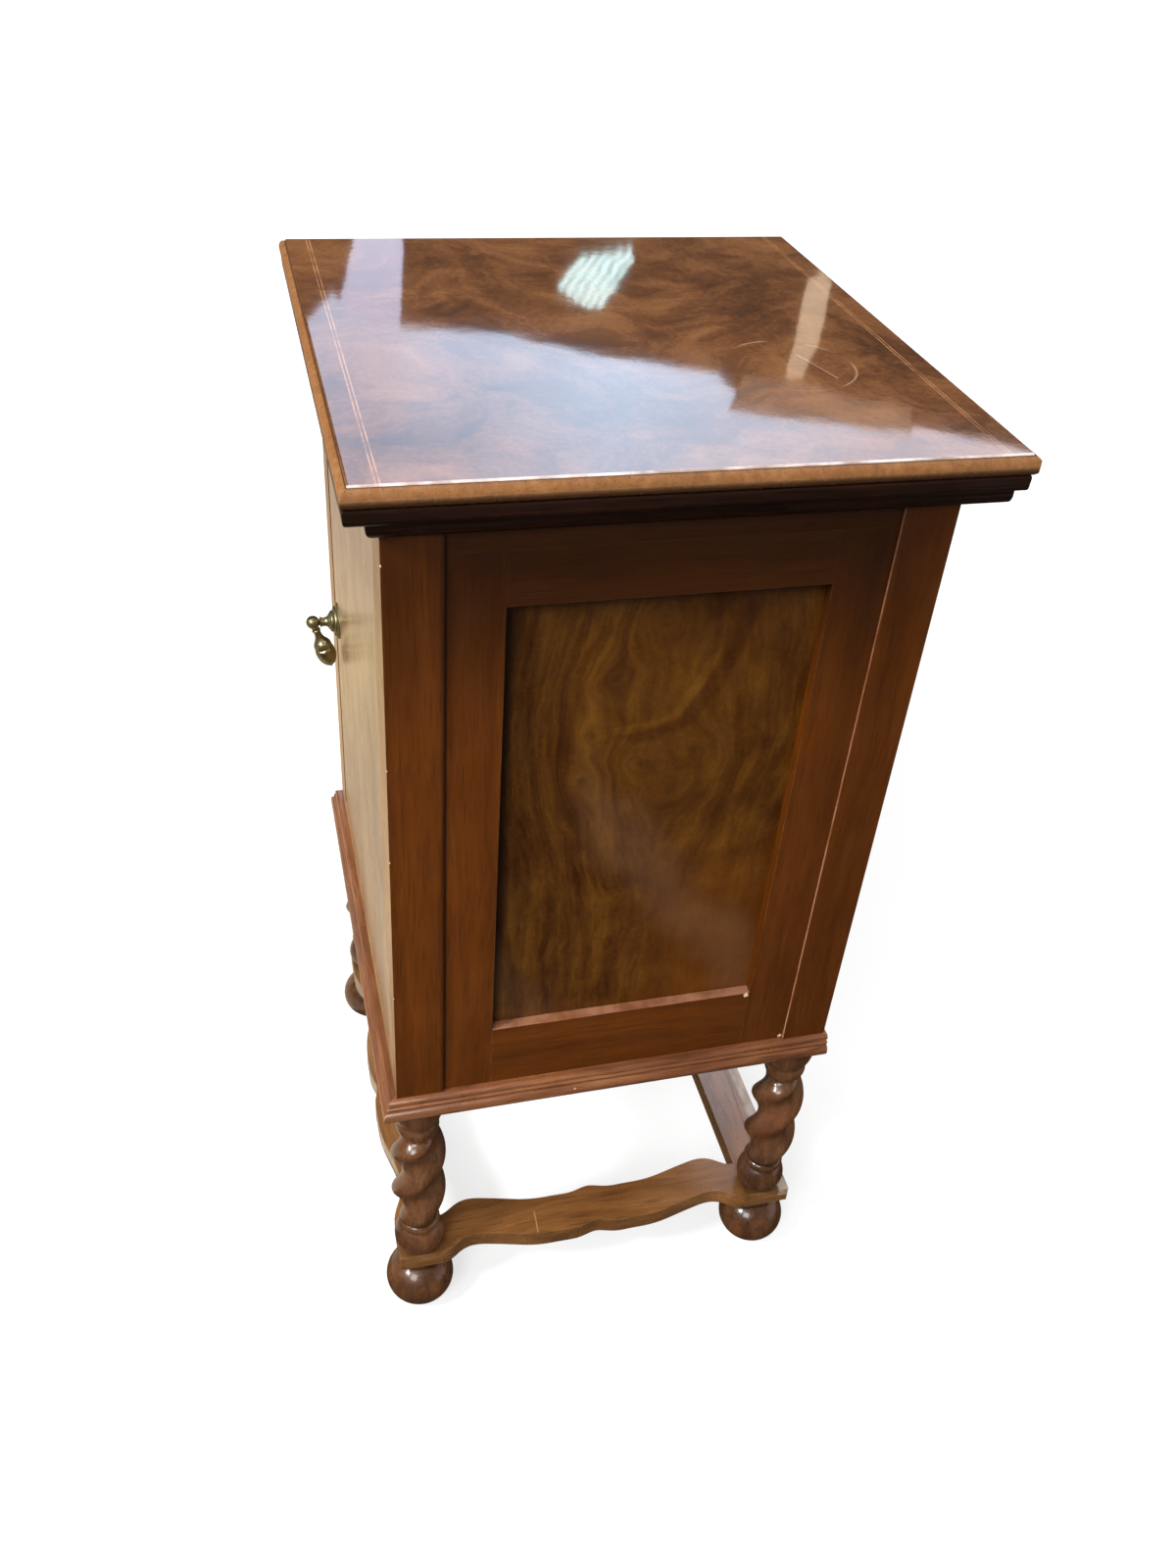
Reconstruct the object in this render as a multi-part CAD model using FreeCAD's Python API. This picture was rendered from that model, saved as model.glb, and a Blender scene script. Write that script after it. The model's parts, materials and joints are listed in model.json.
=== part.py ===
import FreeCAD, Part
import math
import os

# A walnut cabinet on a twist-turned stand. One flush door on centre hinges opens on the front.
#
# Shapes are built in the carcass frame, in millimetres: x = 0 on the middle of the door,
# y = 0 on the front faces of the posts with +y to the back, z = 0 on the underside of the
# carcass. save() moves them to the part's own frame, whose origin is the middle of the
# whole object's footprint on the floor.

V = FreeCAD.Vector

# ---- driving dimensions -------------------------------------------------------------

CARCASS_W = 400.0
CARCASS_D = 368.0
CARCASS_H = 500.0
STAND_H = 305.0

POST = 38.0                 # square corner posts
POST_PROUD = 2.5            # posts stand this far in front of the side frames

FRAME_T = 22.0              # thickness of a side frame
SIDE_STILE_W = 38.5
SIDE_TOP_RAIL_H = 39.0
SIDE_BOTTOM_RAIL_H = 62.5
PANEL_T = 8.0
PANEL_SETBACK = 9.0         # panel face behind the frame face
GROOVE_DEPTH = 8.0
PANEL_PLAY = 0.5            # room for the panel to swell in its groove
TONGUE_T = 6.0              # tongue of a stile in its post
TONGUE_L = 6.0

TOP_RAIL_T = 16.0           # flat rails under the cornice
TOP_RAIL_W = 47.5
BOTTOM_T = 17.0
BACK_T = 8.0
BACK_SETBACK = 8.0
SHELF_T = 15.0
SHELF_Z = 246.0
SHELF_FRONT = 40.0
BEARER_W = 10.0
BEARER_H = 12.0

DOOR_T = 20.0
DOOR_GAP = 1.5
DOOR_SETBACK = 0.5
STOP_W = 10.0
STOP_FREE_END = -125.0      # the stop reaches from here towards the hinges
STOP_HINGE_END = 98.0
STOP_GAP = 0.2

# centre hinges: plates let into the door and the rails above and below it
PIVOT_FROM_EDGE = 10.0
PIVOT_DEPTH = 4.0
PLATE_L = 46.0
PLATE_W = 12.0
PLATE_T = 2.5
PIN_R = 2.0
PIN_L = 3.8
BOSS_R = 4.0
BOSS_H = 1.4
RUNNING = 0.05              # radial clearance of every pin in its hole
SCREW_SHANK_R = 1.4
SCREW_HEAD_R = 3.0
SCREW_HEAD_H = 1.8
SCREW_L = 12.0
SCREW_STEPS = (16.0, 32.0)  # screws along a plate, from its pivot

# ball catch in the free edge of the door
CATCH_Z = 330.0
BARREL_R = 4.0
BARREL_L = 16.0
BALL_R = 3.0
BALL_PROUD = 1.2
LIP_T = 0.8
LIP_R = 2.9
STRIKE_W = 12.0
STRIKE_H = 30.0
STRIKE_T = 1.0
STRIKE_HOLE_R = 2.2

# drop pull
PULL_X = -141.0
PULL_Z = 238.0
PULL_ROSE_R = 16.0
PULL_ROSE_H = 8.4
PULL_REACH = 22.0           # door face to the middle of the knuckle ball
KNUCKLE_R = 5.8
DROP_LENGTH = 48.0
DROP_LEAN = 17.0            # degrees towards the door
TONGUE_R = 2.6
TONGUE_HALF = 1.5
SLOT_HALF = 1.75
PULL_PIN_R = 1.0
PULL_SCREW_R = 2.0
PULL_SCREW_L = 15.0

# top and mouldings, as overhangs outside the carcass faces
TOP_T = 13.5
TOP_OVERHANG = 18.6
TOP_ARRIS = 1.2
EDGE_OVERHANG = 23.5
EDGE_CORNER_R = 4.0         # rounding of the edge moulding's two back corners
CORNICE_OVERHANG = 22.5
CORNICE_H = 26.5
CORNICE_W = 46.0
BACK_EXTRA = 11.0           # the top reaches this much further at the back

# stand
STAND_RAIL_T = 20.0
STAND_RAIL_W = 72.0
STAND_OVERHANG = 9.0
STAND_FRONT_EXTRA = 3.0
STAND_BACK_EXTRA = 2.5      # the stand's rails end this far behind the carcass
LEG_INSET = 19.0            # leg axes inside the carcass faces
LEG_TENON_R = 8.0
LEG_TENON_L = 16.0
STRETCHER_T = 18.0
FOOT_H = 60.0
FOOT_R = 31.0
FOOT_MID = 26.5
FOOT_HALF_H = 27.0
FOOT_NECK_R = 15.0

# the twist
TWIST_CORE_R = 14.2
TWIST_RISE = 9.5            # strands stand this far outside the core
TWIST_PITCH = 99.0          # one strand's rise in a full turn, two strands
TWIST_PHASE = 72.0
TWIST_RUN_OUT = 13.0
STRAND_ROUNDNESS = 1.9      # higher makes rounder strands with narrower grooves
TWIST_GRID = 24             # spans of the twist's surface, around and along the leg

# flat stretchers
STRETCHER_W = 38.0
STRETCHER_WAVE = 12.0       # depth of the hollows beside the legs
STRETCHER_NOTCH = 4.0
WAVE_CREST = 46.0           # crest, from the middle of a stretcher
WAVE_HOLLOW = 118.0
NOTCH_HALF = 20.0
BLOCK_HALF = 19.5           # from the leg axis to where the hollow starts
SIDE_BLOCK_OUT = 17.5       # leg axis to the outer edge of a side stretcher
FRONT_BLOCK_OUT = 20.0
BACK_BLOCK_OUT = 26.0
BACK_STRETCHER_W = 44.0

# ---- worked-out places --------------------------------------------------------------

HALF_W = CARCASS_W / 2
POST_IN = HALF_W - POST                     # inner face of a post
FRAME_OUT = HALF_W - POST_PROUD             # outer face of a side frame
FRAME_IN = FRAME_OUT - FRAME_T
PANEL_OUT = FRAME_OUT - PANEL_SETBACK
PANEL_IN = PANEL_OUT - PANEL_T
FRAME_TOP = CARCASS_H - TOP_RAIL_T
BACK_Y = CARCASS_D - BACK_SETBACK

DOOR_HALF = POST_IN - DOOR_GAP
DOOR_LOW = BOTTOM_T + DOOR_GAP
DOOR_HIGH = FRAME_TOP - DOOR_GAP
DOOR_BACK = DOOR_SETBACK + DOOR_T
PIVOT_X = DOOR_HALF - PIVOT_FROM_EDGE
PIVOT_Y = DOOR_SETBACK + PIVOT_DEPTH
KNUCKLE_Y = DOOR_SETBACK - PULL_REACH

LEG_X = HALF_W - LEG_INSET
LEG_FRONT_Y = LEG_INSET
LEG_BACK_Y = CARCASS_D - LEG_INSET
LEG_TOP = -STAND_RAIL_T
LEG_BOTTOM = FOOT_H + STRETCHER_T - STAND_H
STRETCHER_LOW = FOOT_H - STAND_H
FLOOR = -STAND_H

OBJECT_FRONT = KNUCKLE_Y - KNUCKLE_R
OBJECT_BACK = CARCASS_D + BACK_EXTRA + EDGE_OVERHANG
TO_ROW_FRAME = V(0, -(OBJECT_FRONT + OBJECT_BACK) / 2, STAND_H)


# ---- helpers ------------------------------------------------------------------------

def save(node, *solids):
    """Write one node. Several solids make a group of separate pieces."""
    shape = solids[0] if len(solids) == 1 else Part.makeCompound(list(solids))
    moved = shape.copy()
    moved.translate(TO_ROW_FRAME)
    moved.exportStep("parts/" + node + ".step")
    print(node, len(moved.Solids), moved.isValid(), round(moved.Volume / 1000.0, 2), "cm3")


def box(x0, x1, y0, y1, z0, z1):
    low = V(min(x0, x1), min(y0, y1), min(z0, z1))
    return Part.makeBox(abs(x1 - x0), abs(y1 - y0), abs(z1 - z0), low)


def outline(start, steps, place):
    """Closed wire of lines and arcs. A step is (end) or (point on the arc, end)."""
    edges = []
    here = place(*start)
    for step in steps + [[start]]:
        end = place(*step[-1])
        if here.isEqual(end, 1e-6):
            continue
        if len(step) == 1:
            edges.append(Part.makeLine(here, end))
        else:
            edges.append(Part.Arc(here, place(*step[0]), end).toShape())
        here = end
    return Part.Wire(edges)


def turned(start, steps, origin=V(0, 0, 0), axis=V(0, 0, 1)):
    """Revolve a profile of (radius, height) about an axis that leaves origin."""
    wire = outline(start, steps, lambda r, h: V(r, 0, h))
    solid = Part.Face(wire).revolve(V(0, 0, 0), V(0, 0, 1), 360)
    solid.Placement = FreeCAD.Placement(origin, FreeCAD.Rotation(V(0, 0, 1), axis))
    return solid


def mirrored(shape):
    return shape.mirror(V(0, 0, 0), V(1, 0, 0))


def sides():
    """The two sides of the cabinet: name and the sign of x."""
    return (("left", -1), ("right", 1))


def legs():
    return [(end + "_" + side, sign * LEG_X, y)
            for end, y in (("front", LEG_FRONT_Y), ("back", LEG_BACK_Y))
            for side, sign in sides()]


# ---- mitred mouldings ---------------------------------------------------------------

def mitred_frame(name, profile, width, overhang, front_extra=0.0, back_extra=0.0, z=0.0):
    """Four strips with 45 degree mitres. The profile is (inward, up) from the outer edge."""
    front = -(overhang + front_extra)
    back = CARCASS_D + overhang + back_extra
    half_x = HALF_W + overhang
    middle = (front + back) / 2
    places = {
        "front": (2 * half_x, 0, V(0, front, z)),
        "right": (back - front, 90, V(half_x, middle, z)),
        "back": (2 * half_x, 180, V(0, back, z)),
        "left": (back - front, 270, V(-half_x, middle, z)),
    }
    strips = {}
    for side, (length, turn, place) in places.items():
        wire = outline(profile[0], profile[1], lambda u, h: V(-length / 2, u, h))
        strip = Part.Face(wire).extrude(V(length, 0, 0))
        plan = Part.makePolygon([V(-length / 2, 0, -99), V(length / 2, 0, -99),
                                 V(length / 2 - width, width, -99),
                                 V(-length / 2 + width, width, -99),
                                 V(-length / 2, 0, -99)])
        strip = strip.common(Part.Face(plan).extrude(V(0, 0, 198)))
        strip.rotate(V(0, 0, 0), V(0, 0, 1), turn)
        strip.translate(place)
        strips[name + "_" + side] = strip.Solids[0]
    return strips


def open_back_frame(name, profile, width, overhang, height, z, back_y, front_extra=0.0):
    """Moulded front and sides, cut square at back_y, and a plain board let in between them."""
    strips = mitred_frame(name, profile, width, overhang, front_extra=front_extra,
                          back_extra=2 * width, z=z)
    room = box(-CARCASS_W, CARCASS_W, -CARCASS_D, back_y, z, z + height)
    strips = {side: strip.common(room) for side, strip in strips.items()}
    between = HALF_W + overhang - width
    strips[name + "_back"] = box(-between, between, back_y - width, back_y, z, z + height)
    return strips


def top_edge():
    """Cushion moulding planted round the top, just below its polished face."""
    out, z = EDGE_OVERHANG, CARCASS_H + CORNICE_H
    profile = ((4.9, 0.0), [[(3.2, 0.0)], [(0.0, 6.2), (2.4, 11.4)], [(4.9, 12.2)]])
    strips = mitred_frame("top_edge", profile, out - TOP_OVERHANG, out,
                          back_extra=BACK_EXTRA, z=z)
    plan = box(-HALF_W - out, HALF_W + out, -out, CARCASS_D + BACK_EXTRA + out, z, z + TOP_T)
    corners = [e for e in plan.Edges if e.BoundBox.ZLength > TOP_T / 2 and e.BoundBox.YMin > 0]
    plan = plan.makeFillet(EDGE_CORNER_R, corners)
    return {name: strip.common(plan) for name, strip in strips.items()}


def cornice():
    """Two rounded steps under the top, the lower one a deep ovolo."""
    profile = ((19.5, 0.0),
               [[(15.6, 2.6), (14.0, 8.0)], [(14.0, 15.6)], [(5.2, 15.6)],
                [(1.6, 16.9), (0.4, 20.6)], [(0.0, 25.4)], [(1.0, CORNICE_H)],
                [(CORNICE_W, CORNICE_H)], [(CORNICE_W, 0.0)]])
    return open_back_frame("cornice", profile, CORNICE_W, CORNICE_OVERHANG, CORNICE_H,
                           CARCASS_H, CARCASS_D + BACK_EXTRA + TOP_OVERHANG)


def stand_rails():
    """Rails moulded on the front and sides, and a plain one let in between them at the back.

    The moulding is a sloped lip, a small bead between two quirks and a half-round below.
    """
    t = STAND_RAIL_T
    profile = ((2.0, 0.0),
               [[(0.4, 5.0), (3.0, 9.8)], [(4.8, 10.2)], [(4.8, 11.2)],
                [(3.4, 12.6), (4.6, 14.0)], [(6.0, 14.4)], [(6.0, 15.6)], [(4.8, 16.2)],
                [(5.2, 18.4), (7.8, t)], [(STAND_RAIL_W, t)], [(STAND_RAIL_W, 0.0)]])
    rails = open_back_frame("stand_rail", profile, STAND_RAIL_W, STAND_OVERHANG, t, -t,
                            CARCASS_D + STAND_BACK_EXTRA, STAND_FRONT_EXTRA)
    for _, x, y in legs():
        socket = Part.makeCylinder(LEG_TENON_R + RUNNING, LEG_TENON_L + 0.5, V(x, y, -t))
        rails = {name: rail.cut(socket) for name, rail in rails.items()}
    return rails


# ---- stand --------------------------------------------------------------------------

def foot(x, y):
    """Squashed bun foot with a dowel through the stretchers into the leg."""
    low = FLOOR
    mid = low + FOOT_MID
    neck_z = FOOT_HALF_H * math.sqrt(1 - (FOOT_NECK_R / FOOT_R) ** 2)
    ball = Part.makeSphere(FOOT_R)
    squash = FreeCAD.Matrix()
    squash.scale(1, 1, FOOT_HALF_H / FOOT_R)
    ball = ball.transformGeometry(squash)
    ball.translate(V(x, y, mid))
    reach = FOOT_R + 1
    ball = ball.common(box(x - reach, x + reach, y - reach, y + reach, low, mid + neck_z))
    neck = Part.makeCylinder(FOOT_NECK_R, FOOT_H - FOOT_MID - neck_z + 1,
                             V(x, y, mid + neck_z - 1))
    dowel = Part.makeCylinder(LEG_TENON_R, STRETCHER_T + LEG_TENON_L,
                              V(x, y, STRETCHER_LOW))
    return ball.fuse([neck, dowel]).removeSplitter()


def double_twist(low, high):
    """Barley twist of two rounded strands, one smooth surface, that die out at both ends."""
    def ease(distance):
        part = max(0.0, min(1.0, distance / TWIST_RUN_OUT))
        return part * part * (3 - 2 * part)

    def section(z):
        depth = TWIST_RISE * ease(z - low) * ease(high - z)
        turn = 2 * math.pi * z / TWIST_PITCH + math.radians(TWIST_PHASE)
        points = []
        for step in range(TWIST_GRID + 1):
            angle = 2 * math.pi * step / TWIST_GRID
            radius = TWIST_CORE_R + depth * (1 - abs(math.sin(angle)) ** STRAND_ROUNDNESS)
            points.append(V(radius * math.cos(angle + turn),
                            radius * math.sin(angle + turn), z))
        return points

    skin = Part.BSplineSurface()
    skin.interpolate([section(low + (high - low) * i / TWIST_GRID)
                      for i in range(TWIST_GRID + 1)])
    side = skin.toShape()
    ends = [Part.Face(Part.Wire(edge)) for edge in side.Edges if edge.BoundBox.ZLength < 0.01]
    twist = Part.Solid(Part.Shell([side] + ends))
    twist.fix(1e-6, 1e-6, 1e-6)
    return twist


def twist_leg():
    """Leg on the z axis: turned collars, a double barley twist, turned base, tenon."""
    top = LEG_TOP
    low = LEG_BOTTOM
    twist_low = low + 40.0
    twist_high = top - 46.0
    end_r = TWIST_CORE_R - 1.5
    head = turned((0, twist_high - 1), [
        [(end_r, twist_high - 1)], [(end_r, twist_high)], [(15.6, top - 44.5)],
        [(18.2, top - 38.0), (16.4, top - 32.0)],
        [(16.2, top - 29.5)], [(17.6, top - 28.0)],
        [(21.6, top - 17.0), (20.6, top - 4.0)],
        [(19.6, top)], [(LEG_TENON_R, top)], [(LEG_TENON_R, top + LEG_TENON_L)],
        [(0, top + LEG_TENON_L)],
    ])
    base = turned((0, twist_low + 1), [
        [(end_r, twist_low + 1)], [(end_r, twist_low)], [(16.0, low + 39.4)],
        [(18.4, low + 35.2), (16.6, low + 31.2)],
        [(15.8, low + 30.2)], [(16.4, low + 29.4)],
        [(22.2, low + 15.4), (15.6, low)],
        [(0, low)],
    ])
    leg = double_twist(twist_low, twist_high).fuse([head, base])
    socket = Part.makeCylinder(LEG_TENON_R + RUNNING, LEG_TENON_L + 0.5, V(0, 0, low))
    return leg.cut(socket)


def wave(s, block_end):
    """How far a stretcher's edge lies inside its crest line at s from the middle."""
    s = abs(s)
    if s < NOTCH_HALF:
        return STRETCHER_NOTCH * (1 + math.cos(math.pi * s / NOTCH_HALF)) / 2
    if s < WAVE_CREST:
        return 0.0
    if s < WAVE_HOLLOW:
        part = (s - WAVE_CREST) / (WAVE_HOLLOW - WAVE_CREST)
        return STRETCHER_WAVE * (1 - math.cos(math.pi * part)) / 2
    part = (s - WAVE_HOLLOW) / (block_end - WAVE_HOLLOW)
    return STRETCHER_WAVE * (1 + math.cos(math.pi * min(part, 1.0))) / 2


def shaped_stretcher(half_length, block_end):
    """Plan of a shaped stretcher along x, its outer crest line on y = 0, inside +y."""
    marks = [0.0, NOTCH_HALF / 2, NOTCH_HALF, (NOTCH_HALF + WAVE_CREST) / 2, WAVE_CREST]
    marks += [WAVE_CREST + (WAVE_HOLLOW - WAVE_CREST) * i / 4 for i in (1, 2, 3, 4)]
    marks += [WAVE_HOLLOW + (block_end - WAVE_HOLLOW) * i / 3 for i in (1, 2, 3)]
    stations = [-s for s in reversed(marks[1:])] + marks

    def edge(offset):
        curve = Part.BSplineCurve()
        curve.interpolate([V(s, wave(s, block_end) + offset, 0) for s in stations])
        return curve

    outer = edge(0.0)
    inner = edge(STRETCHER_W)
    o0, o1 = outer.StartPoint, outer.EndPoint
    i0, i1 = inner.StartPoint, inner.EndPoint
    corners = [o1, V(half_length, 0, 0), V(half_length, i1.y, 0), i1]
    corners_back = [i0, V(-half_length, i0.y, 0), V(-half_length, 0, 0), o0]
    edges = [outer.toShape(), inner.toShape()]
    for run in (corners, corners_back):
        edges += [Part.makeLine(a, b) for a, b in zip(run, run[1:])]
    return Part.Wire(Part.__sortEdges__(edges))


def stretchers():
    """Four flat boards halved together under the legs, front and back boards on top."""
    front_y = LEG_FRONT_Y - FRONT_BLOCK_OUT
    back_y = LEG_BACK_Y + BACK_BLOCK_OUT
    out_x = LEG_X + SIDE_BLOCK_OUT
    side_middle = (LEG_FRONT_Y + LEG_BACK_Y) / 2

    def board(wire):
        return Part.Face(wire).extrude(V(0, 0, STRETCHER_T))

    front = board(shaped_stretcher(out_x, LEG_X - BLOCK_HALF))
    front.translate(V(0, front_y, STRETCHER_LOW))
    back = box(-out_x, out_x, back_y - BACK_STRETCHER_W, back_y,
               STRETCHER_LOW, STRETCHER_LOW + STRETCHER_T)
    half_side = side_middle - LEG_FRONT_Y
    right = board(shaped_stretcher(half_side + BACK_BLOCK_OUT, half_side - BLOCK_HALF))
    right.rotate(V(0, 0, 0), V(0, 0, 1), 90)
    right.translate(V(out_x, side_middle, STRETCHER_LOW))
    far = 2 * CARCASS_W
    right = right.common(box(0, far, front_y, back_y, -far, 0))
    left = mirrored(right)

    half = STRETCHER_LOW + STRETCHER_T / 2
    upper = box(-far, far, -far, far, half, half + far)
    lower = box(-far, far, -far, far, half - far, half)
    side = left.cut(front.common(upper)).cut(back.common(upper))
    boards = {
        "stretcher_front": front.cut(left.common(lower)).cut(right.common(lower)),
        "stretcher_back": back.cut(left.common(lower)).cut(right.common(lower)),
        "stretcher_left": side,
        "stretcher_right": mirrored(side),
    }
    for _, x, y in legs():
        hole = Part.makeCylinder(LEG_TENON_R + RUNNING, STRETCHER_T, V(x, y, STRETCHER_LOW))
        boards = {name: shape.cut(hole) for name, shape in boards.items()}
    return boards


# ---- carcass ------------------------------------------------------------------------

def corner_post(sign, at_back):
    """Square post with a groove for the side frame, and one for the back if it has it."""
    y0 = CARCASS_D - POST if at_back else 0.0
    post = box(sign * POST_IN, sign * HALF_W, y0, y0 + POST, 0, CARCASS_H)
    inner_y = y0 if at_back else POST
    depth = TONGUE_L + PANEL_PLAY
    reach = depth if at_back else -depth
    groove_out = sign * (FRAME_IN + FRAME_T / 2 + TONGUE_T / 2)
    groove_in = sign * (FRAME_IN + FRAME_T / 2 - TONGUE_T / 2)
    post = post.cut(box(groove_in, groove_out, inner_y, inner_y + reach, 0, FRAME_TOP))
    if at_back:
        post = post.cut(box(sign * POST_IN, sign * (POST_IN + TONGUE_L + PANEL_PLAY),
                            BACK_Y - BACK_T, BACK_Y, 0, CARCASS_H))
    return post


def side_frame(sign):
    """Two stiles, two rails and a flat panel held loose in their grooves."""
    y0, y1 = POST, CARCASS_D - POST
    in0, in1 = y0 + SIDE_STILE_W, y1 - SIDE_STILE_W
    top0 = FRAME_TOP - SIDE_TOP_RAIL_H
    low1 = SIDE_BOTTOM_RAIL_H
    groove = GROOVE_DEPTH + PANEL_PLAY
    mid_in = FRAME_IN + FRAME_T / 2 - TONGUE_T / 2
    mid_out = mid_in + TONGUE_T

    def slab(a, b, c, d, e, f):
        return box(sign * a, sign * b, c, d, e, f)

    front = slab(FRAME_IN, FRAME_OUT, y0, in0, 0, FRAME_TOP)
    front = front.fuse(slab(mid_in, mid_out, y0 - TONGUE_L, y0, 0, FRAME_TOP))
    front = front.cut(slab(PANEL_IN, PANEL_OUT, in0 - groove, in0, 0, FRAME_TOP))
    back = slab(FRAME_IN, FRAME_OUT, in1, y1, 0, FRAME_TOP)
    back = back.fuse(slab(mid_in, mid_out, y1, y1 + TONGUE_L, 0, FRAME_TOP))
    back = back.cut(slab(PANEL_IN, PANEL_OUT, in1, in1 + groove, 0, FRAME_TOP))

    tenon0, tenon1 = in0 - GROOVE_DEPTH, in1 + GROOVE_DEPTH
    top = slab(FRAME_IN, FRAME_OUT, in0, in1, top0, FRAME_TOP)
    top = top.fuse(slab(PANEL_IN, PANEL_OUT, tenon0, tenon1, top0 + groove, FRAME_TOP))
    top = top.cut(slab(PANEL_IN, PANEL_OUT, in0, in1, top0, top0 + groove))
    bottom = slab(FRAME_IN, FRAME_OUT, in0, in1, 0, low1)
    bottom = bottom.fuse(slab(PANEL_IN, PANEL_OUT, tenon0, tenon1, 0, low1 - groove))
    bottom = bottom.cut(slab(PANEL_IN, PANEL_OUT, in0, in1, low1 - groove, low1))

    panel = slab(PANEL_IN, PANEL_OUT, tenon0, tenon1,
                 low1 - GROOVE_DEPTH, top0 + GROOVE_DEPTH)
    return {
        "stile_front": front.removeSplitter(),
        "stile_back": back.removeSplitter(),
        "rail_top": top.removeSplitter(),
        "rail_bottom": bottom.removeSplitter(),
        "panel": panel,
    }


def carcass_bottom():
    board = box(-POST_IN, POST_IN, 0, CARCASS_D, 0, BOTTOM_T)
    return board.fuse(box(-FRAME_IN, FRAME_IN, POST, CARCASS_D - POST, 0, BOTTOM_T)
                      ).removeSplitter()


def top_rails():
    inner = FRAME_OUT - TOP_RAIL_W
    z0, z1 = FRAME_TOP, CARCASS_H
    rails = {
        "top_rail_front": box(-POST_IN, POST_IN, 0, POST, z0, z1),
        "top_rail_back": box(-POST_IN, POST_IN, CARCASS_D - POST, CARCASS_D, z0, z1),
    }
    for side, sign in sides():
        rails["top_rail_" + side] = box(sign * inner, sign * FRAME_OUT,
                                        POST, CARCASS_D - POST, z0, z1)
    return rails


def back_panel():
    edge = POST_IN + TONGUE_L
    return box(-edge, edge, BACK_Y - BACK_T, BACK_Y, BOTTOM_T, FRAME_TOP)


def shelf():
    front, back = SHELF_FRONT, BACK_Y - BACK_T - PANEL_PLAY
    wide = FRAME_IN - PANEL_PLAY
    narrow = POST_IN - PANEL_PLAY
    notch = CARCASS_D - POST - PANEL_PLAY
    board = box(-wide, wide, front, notch, SHELF_Z, SHELF_Z + SHELF_T)
    return board.fuse(box(-narrow, narrow, front, back, SHELF_Z, SHELF_Z + SHELF_T)
                      ).removeSplitter()


def shelf_bearer(sign):
    return box(sign * FRAME_IN, sign * (FRAME_IN - BEARER_W), SHELF_FRONT,
               CARCASS_D - POST - 2, SHELF_Z - BEARER_H, SHELF_Z)


def door_stop():
    y0 = DOOR_BACK + STOP_GAP
    return box(STOP_FREE_END, STOP_HINGE_END, y0, y0 + STOP_W,
               FRAME_TOP - STOP_W, FRAME_TOP)


def top_board():
    o = TOP_OVERHANG
    z0 = CARCASS_H + CORNICE_H
    board = box(-HALF_W - o, HALF_W + o, -o, CARCASS_D + BACK_EXTRA + o, z0, z0 + TOP_T)
    rim = [e for e in board.Edges if e.BoundBox.ZMin > z0 + TOP_T - 0.01]
    return board.makeFillet(TOP_ARRIS, rim)


# ---- door, hinges and catch ---------------------------------------------------------

def hinge_screw(x, y, z, up):
    """Countersunk screw with its head flush at z, driven up or down."""
    steps = [[(SCREW_HEAD_R, 0)], [(SCREW_SHANK_R, SCREW_HEAD_H)],
             [(SCREW_SHANK_R, SCREW_L - 3)], [(0, SCREW_L)]]
    return turned((0, 0), steps, V(x, y, z), V(0, 0, 1 if up else -1))


def hinge_set(upper):
    """One centre hinge: its carcass plate with pin, its door plate, and their screws."""
    up = 1 if upper else -1
    carcass_face = FRAME_TOP if upper else BOTTOM_T
    door_face = DOOR_HIGH if upper else DOOR_LOW
    x1 = PIVOT_X + BOSS_R
    x0 = x1 - PLATE_L
    y0 = PIVOT_Y - PIN_R - 1.5
    fixed = box(x0, x1, y0, y0 + PLATE_W, carcass_face, carcass_face + up * PLATE_T)
    boss = Part.makeCylinder(PIN_R + 1.5, BOSS_H, V(PIVOT_X, PIVOT_Y, carcass_face),
                             V(0, 0, -up))
    pin = Part.makeCylinder(PIN_R, PIN_L, V(PIVOT_X, PIVOT_Y, carcass_face), V(0, 0, -up))
    fixed = fixed.fuse([boss, pin]).removeSplitter()
    moving = box(x0, x1, y0, y0 + PLATE_W, door_face, door_face - up * PLATE_T)
    hole = Part.makeCylinder(PIN_R + RUNNING, 3 * PLATE_T,
                             V(PIVOT_X, PIVOT_Y, door_face + up * PLATE_T), V(0, 0, -up))
    moving = moving.cut(hole)
    screw_y = y0 + PLATE_W / 2
    fixed_screws = [hinge_screw(PIVOT_X - s, screw_y, carcass_face, upper)
                    for s in SCREW_STEPS]
    moving_screws = [hinge_screw(PIVOT_X - s, screw_y, door_face, not upper)
                     for s in SCREW_STEPS]
    return fixed.cut(fixed_screws), moving.cut(moving_screws), fixed_screws, moving_screws


def catch():
    """Ball catch: barrel let into the door's edge, captive ball, strike on the post."""
    middle_y = DOOR_SETBACK + DOOR_T / 2
    mouth = V(-DOOR_HALF, middle_y, CATCH_Z)
    inward = V(1, 0, 0)
    bore_r = BALL_R + 0.1
    barrel = turned((LIP_R, 0), [
        [(BARREL_R, 0)], [(BARREL_R, BARREL_L)], [(0, BARREL_L)], [(0, BARREL_L - 1.5)],
        [(bore_r, BARREL_L - 1.5)], [(bore_r, LIP_T)], [(LIP_R, LIP_T)],
    ], mouth, inward)
    ball = Part.makeSphere(BALL_R, V(-DOOR_HALF - BALL_PROUD + BALL_R, middle_y, CATCH_Z))
    strike = box(-POST_IN, -POST_IN - STRIKE_T, middle_y - STRIKE_W / 2,
                 middle_y + STRIKE_W / 2, CATCH_Z - STRIKE_H / 2, CATCH_Z + STRIKE_H / 2)
    dimple = Part.makeCylinder(STRIKE_HOLE_R, 3 * STRIKE_T,
                               V(-POST_IN, middle_y, CATCH_Z), V(-1, 0, 0))
    return barrel, ball, strike, dimple


# ---- drop pull ----------------------------------------------------------------------

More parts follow.
